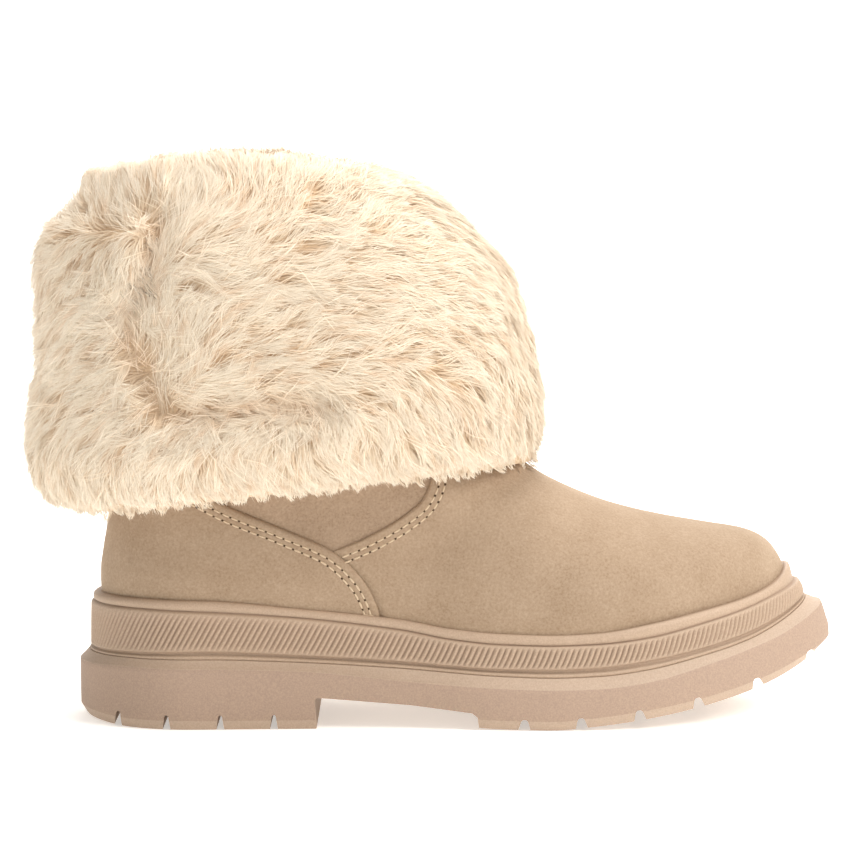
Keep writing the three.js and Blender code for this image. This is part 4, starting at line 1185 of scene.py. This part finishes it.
# %% Comb charts
OUTER_COMB = columns(
    "station height forward up",
    # the turned flap behind the lap line
    (-8, 186, -1, 0.05), (6, 186, -0.9, 0.2), (13, 182, -0.3, -0.9), (20, 174, -0.1, -1),
    (2, 174, -0.55, -0.85), (-8, 176, -0.9, -0.5), (13, 166, -0.5, -0.85), (-1, 165, -0.6, -0.8),
    (9, 159, -0.9, -0.45), (-10, 159, -0.4, -0.9), (13, 154, -1, -0.15), (2, 150, -0.9, -0.45),
    (-8, 144, -0.7, -0.7), (15, 144, -1, 0.05), (2, 140, -0.95, -0.25), (-8, 132, -0.8, -0.6),
    (18, 132, -1, -0.1), (2, 128, -0.9, -0.4), (20, 124, -0.85, -0.5), (6, 118, -0.7, -0.7),
    (-10, 117, -0.6, -0.8), (27, 115, -0.7, -0.7), (41, 115, -0.6, -0.7), (18, 111, -0.7, -0.7),
    (36, 105, -0.5, -0.85), (57, 114, -0.6, -0.5), (67, 103, -0.2, -1), (6, 98, -0.5, -0.85),
    (30, 93, -0.1, -1), (55, 92, 0, -1), (85, 93, 0.1, -1), (104, 99, 0.15, -1), (116, 105, 0.2, -1),
    (128, 100, 0.1, -1), (147, 102, 0.2, -1), (159, 105, 0.15, -1), (0, 86, -0.3, -1),
    (92, 115, 0.3, -0.95), (104, 123, 0.7, -0.7), (122, 118, 0.45, -0.9), (141, 120, 0.4, -0.9),
    (159, 123, 0.2, -1),
    # the field in front of it
    (35, 179, 0.5, 0.85), (38, 170, 0.8, 0.5), (48, 174, 0.95, 0.2), (34, 159, 0.35, 0.9),
    (27, 149, 0.2, 1), (41, 149, 0.5, 0.85), (52, 149, 0.75, 0.6), (66, 156, 0.9, 0.4), (80, 162, 1, 0.1),
    (80, 149, 0.95, 0.3), (41, 135, 0.6, 0.75), (59, 138, 0.9, 0.35), (76, 138, 1, 0.1),
    (38, 124, 0.6, 0.5), (52, 128, 0.95, 0.25), (73, 128, 1, -0.05), (96, 146, 1, 0), (104, 167, 1, 0),
    (120, 155, 1, -0.1), (112, 138, 0.95, 0.15), (133, 138, 0.9, -0.5), (104, 127, 0.8, -0.5),
    (124, 122, 0.6, -0.8), (141, 150, 1, -0.3), (137, 175, 1, -0.15), (153, 167, 0.9, -0.4),
    (157, 146, 0.8, -0.6), (149, 134, 0.6, -0.8), (161, 134, 0.35, -0.95), (145, 117, 0.35, -0.95),
    # the crown
    (79, 187, 1, 0.15), (104, 187, 1, 0.1), (128, 187, 0.95, -0.2), (4, 202, -0.1, 1), (23, 193, -0.05, 1),
    (13, 193, -0.2, 1), (38, 202, 0.1, 1), (50, 190, 0.6, 0.7), (59, 202, 0.25, 1), (76, 202, 0.5, 0.85),
    (96, 200, 0.7, 0.6), (116, 200, 0.9, 0.2),
)
INNER_COMB = columns(
    "station height forward up",
    (0, 180, 0.7, 0.3), (0, 150, 0.9, -0.2), (0, 120, 0.6, -0.8), (10, 95, 0.2, -1), (40, 180, 1, 0.2),
    (40, 150, 1, -0.1), (40, 120, 0.7, -0.7), (45, 98, 0.1, -1), (80, 182, 1, 0.1), (80, 155, 1, -0.2),
    (80, 125, 0.8, -0.6), (80, 100, 0.1, -1), (120, 178, 1, -0.2), (120, 150, 1, -0.4), (120, 122, 0.5, -1),
    (120, 100, 0.15, -1), (155, 165, 0.8, -0.6), (155, 140, 0.6, -0.9), (158, 112, 0.2, -1),
    (20, 202, 0.2, 1), (70, 204, 0.4, 1), (110, 202, 0.7, 0.5),
)
COMB_REACH_MM = 11
FAR_SHARE = 1e-4
ACROSS_LAP_SHARE = 1e-3
LAP_ENDS_STATIONS = (86, 112)
LAP_ENDS_HEIGHTS = (184, 194)


def combed(chart, station, height):
    """The lean forward and up. An arrow hardly reaches across the lap, where the fur parts."""
    forward, up = np.zeros(station.shape), np.zeros(station.shape)
    on_flap = from_lap(station, height) > 0
    across_lap = np.maximum(smoothstep(*LAP_ENDS_STATIONS, station), smoothstep(*LAP_ENDS_HEIGHTS, height))
    for k in range(len(chart["station"])):
        far = np.hypot(station - chart["station"][k], height - chart["height"][k])
        same = on_flap == (from_lap(chart["station"][k], chart["height"][k]) > 0)
        weight = bell(far / COMB_REACH_MM) + FAR_SHARE / (1 + far)
        weight = weight * np.where(same, 1, across_lap + ACROSS_LAP_SHARE)
        forward += weight * chart["forward"][k]
        up += weight * chart["up"][k]
    return forward, up


FRONT_BAND = (0.03, 0.13)
MOUTH_ROWS = (11.4, 12.6)
MOUTH_LEAN = (0.3, 0.8)


def flow_net():
    """The way around and up at each point of the net, as a unit pair."""
    station, height = net[..., 0] + HEEL_SEAT_STATION, net[..., 2]
    outer_around, outer_up = combed(OUTER_COMB, station, height)
    inner_forward, inner_up = combed(INNER_COMB, station, height)
    lateral = is_lateral(net_turn)
    around = np.where(lateral, outer_around, -inner_forward)
    up = np.where(lateral, outer_up, inner_up)
    size = np.hypot(around, up)
    around, up = around / size, up / size
    front = 1 - smoothstep(*FRONT_BAND, np.abs(net_turn - 0.5))
    around, up = mix(around, 0, front), mix(up, -1.0, front)
    mouth = smoothstep(*MOUTH_ROWS, net_row)
    around, up = mix(around, MOUTH_LEAN[0], mouth), mix(up, MOUTH_LEAN[1], mouth)
    size = np.maximum(np.hypot(around, up), 1e-6)
    return around / size, up / size


flow_around, flow_up = flow_net()
turns_per_mm = flow_around / net_per_turn
rows_per_mm = flow_up / net_per_row
print("comb charts laid over", flow_around.size, "places")

# %% [markdown]
# ## Dashes of painted shade and darker wool
# Between the tips of the tufts short tan dashes lie the way the hair is combed: partly the darker lower
# wool, partly painted shade between the tufts. They come from fine random grain that is dragged along the
# comb chart: each place takes the mean of the grain on a short path through it, so the grain is drawn
# out along the hair.

# %% Dragged grain
STREAK_TURNS = 900
STREAK_ROWS = 330
STREAK_STEPS = 6
STREAK_STEP_MM = 0.6


def at_streak(values, turn, row):
    i = ((turn % 1) * STREAK_TURNS).astype(int) % STREAK_TURNS
    j = ((row - NET_ROWS[0]) / (NET_ROWS[-1] - NET_ROWS[0]) * STREAK_ROWS).astype(int)
    return values[i, np.clip(j, 0, STREAK_ROWS - 1)]


def drag_grain(seed):
    grain = np.random.default_rng(seed).normal(size=(STREAK_TURNS, STREAK_ROWS))
    grain = grain + np.roll(grain, 1, axis=0) + np.roll(grain, 1, axis=1)
    rows = np.linspace(NET_ROWS[0], NET_ROWS[-1], STREAK_ROWS)
    start = np.meshgrid(turns_of(STREAK_TURNS), rows, indexing="ij")
    total = at_streak(grain, *start)
    for way in (-STREAK_STEP_MM, STREAK_STEP_MM):
        turn, row = start
        for _ in range(STREAK_STEPS):
            along_turn, along_row = look_up(turns_per_mm, turn, row), look_up(rows_per_mm, turn, row)
            turn, row = turn + along_turn * way, row + along_row * way
            total = total + at_streak(grain, turn, row)
    return (total - total.mean()) / total.std()


GRAIN_SEED = 31
streaks = drag_grain(GRAIN_SEED)
print("grain dragged over", streaks.size, "places")

# %% [markdown]
# ## Locks and hairs
# Hair grows in locks whose tips draw together. So each lock gets one path over the cuff, from a root deep
# in the wool to a tip at the surface, and its hairs start spread about that path and close in on it. A
# hair is a flat strip that narrows to a point: tan at the root and cream at the tip, as the colour of a
# real fleece changes along its length. Light passes through real hair from all sides, which flat strips
# can't do, so the strips also glow faintly. All is made with arrays, a few points to a hair.

# %% Fur material


def hair_material(name, hex_glow, glow):
    material, tree = new_material(name)
    tint = add_node(tree, "ShaderNodeVertexColor", {"layer_name": "tint"})
    finish_material(tree, add_node(tree, "ShaderNodeBsdfPrincipled", inputs={
        "Base Color": tint.outputs["Color"], "Roughness": 0.85, "IOR": 1.55,
        "Specular IOR Level": 0.1, "Sheen Weight": 0.2, "Sheen Tint": (*linear("#fff2e0"), 1),
        "Emission Color": (*linear(hex_glow), 1), "Emission Strength": glow}))
    return material


# Both glows are painted light; the fine tips glow more, which lightens the crown and the mouth.
fur_strand = hair_material("long_sheepskin_hair", "#eadbc4", 0.13)
fur_wisp = hair_material("fine_sheepskin_tips", "#f4ebdc", 0.3)

# %% Tints and the fringe
ROOT_TINT = np.array(linear("#ceb08c"))
BODY_TINT = np.array(linear("#d8c7ae"))
TIP_TINT = np.array(linear("#e5dccb"))
# The dashes are painted shade between the tufts, partly the darker lower wool.
DASH_SHADE_TINT = np.array(linear("#c49f78"))
# Painted shade in the crease along the lap line.
CREASE_SHADE_TINT = np.array(linear("#cda883"))
DASH_SHADE_SHARE = 0.62
CREASE_SHADE_SHARE = 0.3
SHADE_SHARE = 0.03

# Where the lowest tips of the fringe end
FRINGE = columns(
    "station height",
    (-10, 80), (7, 80), (30, 82), (45, 84), (60, 84.5), (83, 83.5), (104, 87.5), (120, 89.5), (135, 92.5),
    (154, 93.5), (163, 97.5), (176, 102),
)
FRINGE_TOP_ROW = 6
SHORTEST_LOCK_MM = 4
FLAP_TOP_ROW = 10.5
shears = np.random.default_rng(7)


def hair_tints(t, shade, dash_shade, crease):
    """Tan at the root and cream at the tip, with dashes of painted shade, and painted shade in the crease."""
    body = smoothstep(0.0, 0.5, t)[..., None]
    tip = smoothstep(0.4, 1.0, t)[..., None]
    tint = mix(mix(ROOT_TINT, BODY_TINT, body), TIP_TINT, tip)
    tint = mix(tint, DASH_SHADE_TINT, (DASH_SHADE_SHARE * dash_shade)[..., None])
    tint = mix(tint, CREASE_SHADE_TINT, (CREASE_SHADE_SHARE * crease)[..., None])
    return np.clip(tint * (1 + SHADE_SHARE * shade)[..., None], 0, 1)


# %% Paths of the locks


def soft_noise(points, wavelength_mm, seed, waves=7):
    """A smooth field between about -1 and 1, made of a few sine waves through space."""
    draw = np.random.default_rng(seed)
    direction = draw.normal(size=(waves, 3))
    direction /= np.linalg.norm(direction, axis=1, keepdims=True)
    length = wavelength_mm * draw.uniform(0.7, 1.4, waves)
    phase = draw.uniform(0, 2 * np.pi, waves)
    total = sum(np.sin(points @ direction[k] * 2 * np.pi / length[k] + phase[k]) for k in range(waves))
    return total / math.sqrt(waves)


def lap_share(at, turn, width_mm, row=0):
    """1 on the lap line of the outer side, falling to 0 over a width beside it."""
    distance = from_lap(at[..., 0] + HEEL_SEAT_STATION, at[..., 2])
    return bell(distance / width_mm) * (is_lateral(turn) & (row < FLAP_TOP_ROW))


def lock_roots(count, row_low, row_high, turn_low, turn_high):
    """Roots spread evenly over a part of the cuff, by area, and closer together along the lap."""
    area = net_per_turn * net_per_row * (1 + 2 * lap_share(net, net_turn, 6))
    inside = (net_row >= row_low) & (net_row < row_high) & (net_turn >= turn_low) & (net_turn < turn_high)
    running = np.cumsum(np.where(inside, area, 0).ravel())
    picked = np.searchsorted(running, (np.arange(count) + shears.uniform(0, 1, count)) / count * running[-1])
    i, j = np.unravel_index(np.clip(picked, 0, area.size - 1), area.shape)
    turn = (i + shears.uniform(-0.5, 0.5, count)) / NET_TURNS
    row = NET_ROWS[j] + shears.uniform(-0.05, 0.05, count)
    return turn, row


def turned(around, up, angle):
    return around * np.cos(angle) - up * np.sin(angle), around * np.sin(angle) + up * np.cos(angle)


def lock_paths(turn, row, length, steps, stray):
    """The turns and rows of each lock's path, one more than its steps."""
    turns, rows = [turn], [row]
    for _ in range(steps):
        at = look_up(net, turn, row)
        sway = 0.22 * soft_noise(at, 24, 11) + 0.2 * soft_noise(at, 8, 12) + stray
        around, up = turned(look_up(flow_around, turn, row), look_up(flow_up, turn, row), sway)
        turn = turn + around * length / steps / look_up(net_per_turn, turn, row)
        row = row + up * length / steps / look_up(net_per_row, turn, row)
        turns.append(turn)
        rows.append(row)
    return np.stack(turns, axis=1), np.stack(rows, axis=1)


# %% Locks of one region


def grow_locks(settings):
    """The path of each lock, with its length, how far it lifts and stands off, and its shade."""
    count, steps = settings["locks"], settings["steps"]
    turn, row = lock_roots(count, *settings["rows"], *settings["turns"])
    at = look_up(net, turn, row)
    length = settings["length"] * shears.uniform(0.75, 1.25, count) * (1 + 0.15 * soft_noise(at, 20, 21))
    above_fringe = at[:, 2] - read(FRINGE, "height", at[:, 0] + HEEL_SEAT_STATION)
    ragged = above_fringe + 1.5 * soft_noise(at, 9, 25) + shears.normal(0, 0.8, count)
    trimmed = np.minimum(length, np.maximum(ragged, SHORTEST_LOCK_MM))
    length = np.where(row < FRINGE_TOP_ROW, trimmed, length)
    stray = shears.normal(0, settings["stray"] + 0.6 * lap_share(at, turn, 5, row))
    turns, rows = lock_paths(turn, row, length, steps, stray)
    lift = 0.5 * soft_noise(at, 9, 22) + shears.normal(0, 0.45, count)
    at_heel = bell(np.minimum(turn % 1, 1 - turn % 1) / 0.05)
    stand = settings["stand"] + shears.uniform(0, 1, count) * (0.8 + 2.6 * at_heel)
    shade = 0.5 * soft_noise(at, 14, 23) + 0.7 * shears.normal(0, 1, count)
    return {"turns": turns, "rows": rows, "length": length, "lift": lift, "stand": stand, "shade": shade}


# %% Hairs of the locks


def hair_lines(settings, locks, owner, t):
    """Where each hair runs: its turns and rows on the net, its points, and the way out at each."""
    steps = settings["steps"]
    single = (len(owner), 1)
    spread = settings["spread"] * np.sqrt(shears.uniform(0, 1, single))
    bearing = shears.uniform(0, 2 * np.pi, single)
    gather = 1 - settings["gather"] * smoothstep(0, 1, t)
    reach = np.clip(shears.normal(0.9, 0.14, single), 0.5, 1.1)
    path = np.clip(t * reach, 0, 1) * steps
    low = np.minimum(np.floor(path).astype(int), steps - 1)
    share = path - low
    turns = mix(locks["turns"][owner, low], locks["turns"][owner, low + 1], share)
    rows = mix(locks["rows"][owner, low], locks["rows"][owner, low + 1], share)
    per_turn, per_row = look_up(net_per_turn, turns, rows), look_up(net_per_row, turns, rows)
    bend = shears.normal(0, 0.11, single) * locks["length"][owner] * t ** 1.6
    around, up = look_up(flow_around, turns, rows), look_up(flow_up, turns, rows)
    turns = turns + (spread * np.cos(bearing) * gather - bend * up) / per_turn
    rows = rows + (spread * np.sin(bearing) * gather + bend * around) / per_row

    depth = settings["root"]
    height = (-depth + depth * (1 - (1 - t) ** 2.2) * settings["rise"] + locks["lift"][owner] * t
              + shears.normal(0, settings["fluff"], single) * t + locks["stand"][owner] * t ** 2)
    out = look_up(net_normal, turns, rows)
    return turns, rows, look_up(net, turns, rows) + out * height[..., None], out


def unit(vectors):
    return vectors / np.maximum(np.linalg.norm(vectors, axis=-1, keepdims=True), 1e-6)


def doubled(values):
    """Gives every place but the tip two values, for the left and right sides of a strip."""
    return np.concatenate([np.repeat(values[:, :-1], 2, axis=1), values[:, -1:]], axis=1)


def strip_sides(settings, centre, out):
    """The points of a flat strip along each hair, and their normals."""
    hairs, steps = len(centre), settings["steps"]
    run = unit(np.gradient(centre, axis=1))
    across = unit(np.cross(run, out))
    twist = shears.normal(0, 0.25, (hairs, 1, 1))
    across = across * np.cos(twist) + np.cross(run, across) * np.sin(twist)
    width = settings["width"] * shears.uniform(0.7, 1.3, (hairs, 1)) * np.linspace(1.0, 0.7, steps)[None, :]
    left = centre[:, :-1] - across[:, :-1] * width[..., None] / 2
    right = centre[:, :-1] + across[:, :-1] * width[..., None] / 2
    sides = np.stack([left, right], axis=2).reshape(hairs, -1, 3)
    facing = np.cross(across, run)
    normals = out * 0.88 + facing * np.sign((facing * out).sum(axis=-1, keepdims=True)) * 0.12
    return np.concatenate([sides, centre[:, -1:]], axis=1), doubled(normals)


def strip_faces(hairs, steps):
    """Four-sided faces along each strip, and a triangle at its tip."""
    each = 2 * steps + 1
    first = (np.arange(hairs) * each)[:, None]
    pairs = np.arange(steps - 1) * 2
    quads = np.stack([first + pairs, first + pairs + 1, first + pairs + 3, first + pairs + 2], axis=-1)
    tips = np.stack([first[:, 0] + each - 3, first[:, 0] + each - 2, first[:, 0] + each - 1], axis=-1)
    return quads.reshape(-1, 4), tips


def fur_piece(name, material=fur_strand, **settings):
    """All hairs of one region as one mesh."""
    locks = grow_locks(settings)
    owner = np.repeat(np.arange(settings["locks"]), settings["hairs"])[:, None]
    t = np.linspace(0, 1, settings["steps"] + 1)[None, :]
    turns, rows, centre, out = hair_lines(settings, locks, owner, t)
    points, normals = strip_sides(settings, centre, out)
    own_grain = 0.25 * shears.normal(0, 1, owner.shape)
    # Dashes of painted shade, dragged along the comb.
    dash_shade = smoothstep(0.1, 2.2, at_streak(streaks, turns, rows) + own_grain)
    shade = locks["shade"][owner] + 0.8 * shears.normal(0, 1, owner.shape)
    tints = doubled(hair_tints(t, shade, dash_shade, lap_share(centre, turns, 3.5, rows)))
    quads, tips = strip_faces(len(owner), settings["steps"])
    piece = mesh_object(name, points.reshape(-1, 3), quads, tips, [material])
    piece.data.normals_split_custom_set_from_vertices(unit(normals).reshape(-1, 3).tolist())
    paint_points(piece, "tint", tints.reshape(-1, 3))
    return place(piece, "fur", "fur_cuff")


# %% Fur by region
# turns 0 to 0.5 are the outer side and 0.5 to 1 the inner side; rows rise from the hem to the mouth
FIELD = {"spread": 3.1, "gather": 0.78, "root": 3.4, "rise": 0.97, "stand": 0.2, "fluff": 0.45, "stray": 0.17,
         "width": 0.31, "steps": 3}
FIELD_ROWS = (1.4, FLAP_TOP_ROW)
ALL_ROUND = (0.0, 1.0)
BACK = {**FIELD, "steps": 4, "stray": 0.13}
fur_piece("fur_outer_back", rows=FIELD_ROWS, turns=(0.0, 0.2), locks=900, hairs=26, length=21, **BACK)
fur_piece("fur_outer_front", rows=FIELD_ROWS, turns=(0.2, 0.5), locks=1250, hairs=28, length=15, **FIELD)
fur_piece("fur_inner_front", rows=FIELD_ROWS, turns=(0.5, 0.75), locks=850, hairs=18, length=16, **FIELD)
fur_piece("fur_inner_back", rows=FIELD_ROWS, turns=(0.75, 1.0), locks=850, hairs=18, length=17, **FIELD)
HEM = {**FIELD, "spread": 2.6, "root": 3.0, "stand": 0.0, "fluff": 0.4, "stray": 0.12}
fur_piece("fur_hem", rows=(0.1, 2.4), turns=ALL_ROUND, locks=700, hairs=20, length=12, **HEM)
CROWN = {**FIELD, "spread": 2.8, "gather": 0.5, "stand": 1.0, "fluff": 0.9, "width": 0.28}
fur_piece("fur_crown", fur_wisp, rows=(10.0, 12.4), turns=ALL_ROUND, locks=700, hairs=18, length=13, **CROWN)
MOUTH = {**FIELD, "root": 2.0, "rise": 1.0, "stand": 1.0, "width": 0.4}
fur_piece("fur_mouth", fur_wisp, rows=(12.0, 14.6), turns=ALL_ROUND, locks=600, hairs=14, length=10, **MOUTH)
WISPS = {**FIELD, "spread": 1.2, "gather": 0.2, "root": 1.0, "stand": 2.2, "fluff": 0.9, "stray": 0.4,
         "width": 0.2}
fur_piece("fur_wisps", fur_wisp, rows=(1.0, 12.3), turns=ALL_ROUND, locks=3000, hairs=3, length=13, **WISPS)

# %% [markdown]
# ## Floor and light
# Catalogue shoes are often shot on a white acrylic table that is lit from below, so that hardly any shadow
# shows. Here the paper floor glows a little instead. A large soft light hangs at the toe side and above
# the camera, so the toe is brighter than the heel, and weaker ones fill the shadows.

# %% Floor
FLOOR_GLOW = 0.45
FLOOR_HALF_WIDTH = 4000.0
FLOOR_DROP = 0.05
paper, paper_tree = new_material("white_backlit_paper")
finish_material(paper_tree, add_node(paper_tree, "ShaderNodeBsdfPrincipled", inputs={
    "Base Color": (*linear("#f6f5f3"), 1), "Roughness": 0.9, "Specular IOR Level": 0.1,
    "Emission Color": (*linear("#fffdf9"), 1), "Emission Strength": FLOOR_GLOW}))
sweep = np.array([(-3.0, 0.0), (1.2, 0.0), (1.6, 0.05), (1.9, 0.25), (2.0, 0.6), (2.0, 3.0)]) / MM
floor_points = np.array([
    [x, y, z - FLOOR_DROP] for y, z in sweep for x in (-FLOOR_HALF_WIDTH, FLOOR_HALF_WIDTH)])
floor = mesh_object("studio_floor", floor_points, grid_quads(len(sweep), 2, False), (), [paper])

# %% Lights


def area_light(name, location, size, power, colour="#ffffff"):
    light = bpy.data.lights.new(name, "AREA")
    light.shape = "DISK"
    light.size = size
    light.energy = power
    light.color = linear(colour)
    lamp = bpy.data.objects.new(name, light)
    lamp.location = location
    lamp.rotation_euler = (AIM - Vector(location)).to_track_quat("-Z", "Y").to_euler()
    bpy.context.collection.objects.link(lamp)


area_light("key", (1.8, -1.1, 1.6), 1.1, 45, "#fffbf7")
area_light("top", (0.2, 0.0, 1.9), 1.3, 32)
area_light("fill", (-1.3, -1.7, 0.8), 1.2, 1)
area_light("rim", (0.2, 1.5, 0.9), 1.0, 10)

WORLD_STRENGTH = 0.36
world = bpy.data.worlds.new("studio")
world.use_nodes = True
background = world.node_tree.nodes["Background"]
background.inputs["Color"].default_value = (*linear("#ffffff"), 1)
background.inputs["Strength"].default_value = WORLD_STRENGTH
bpy.context.scene.world = world
bpy.context.scene.view_settings.view_transform = "Standard"
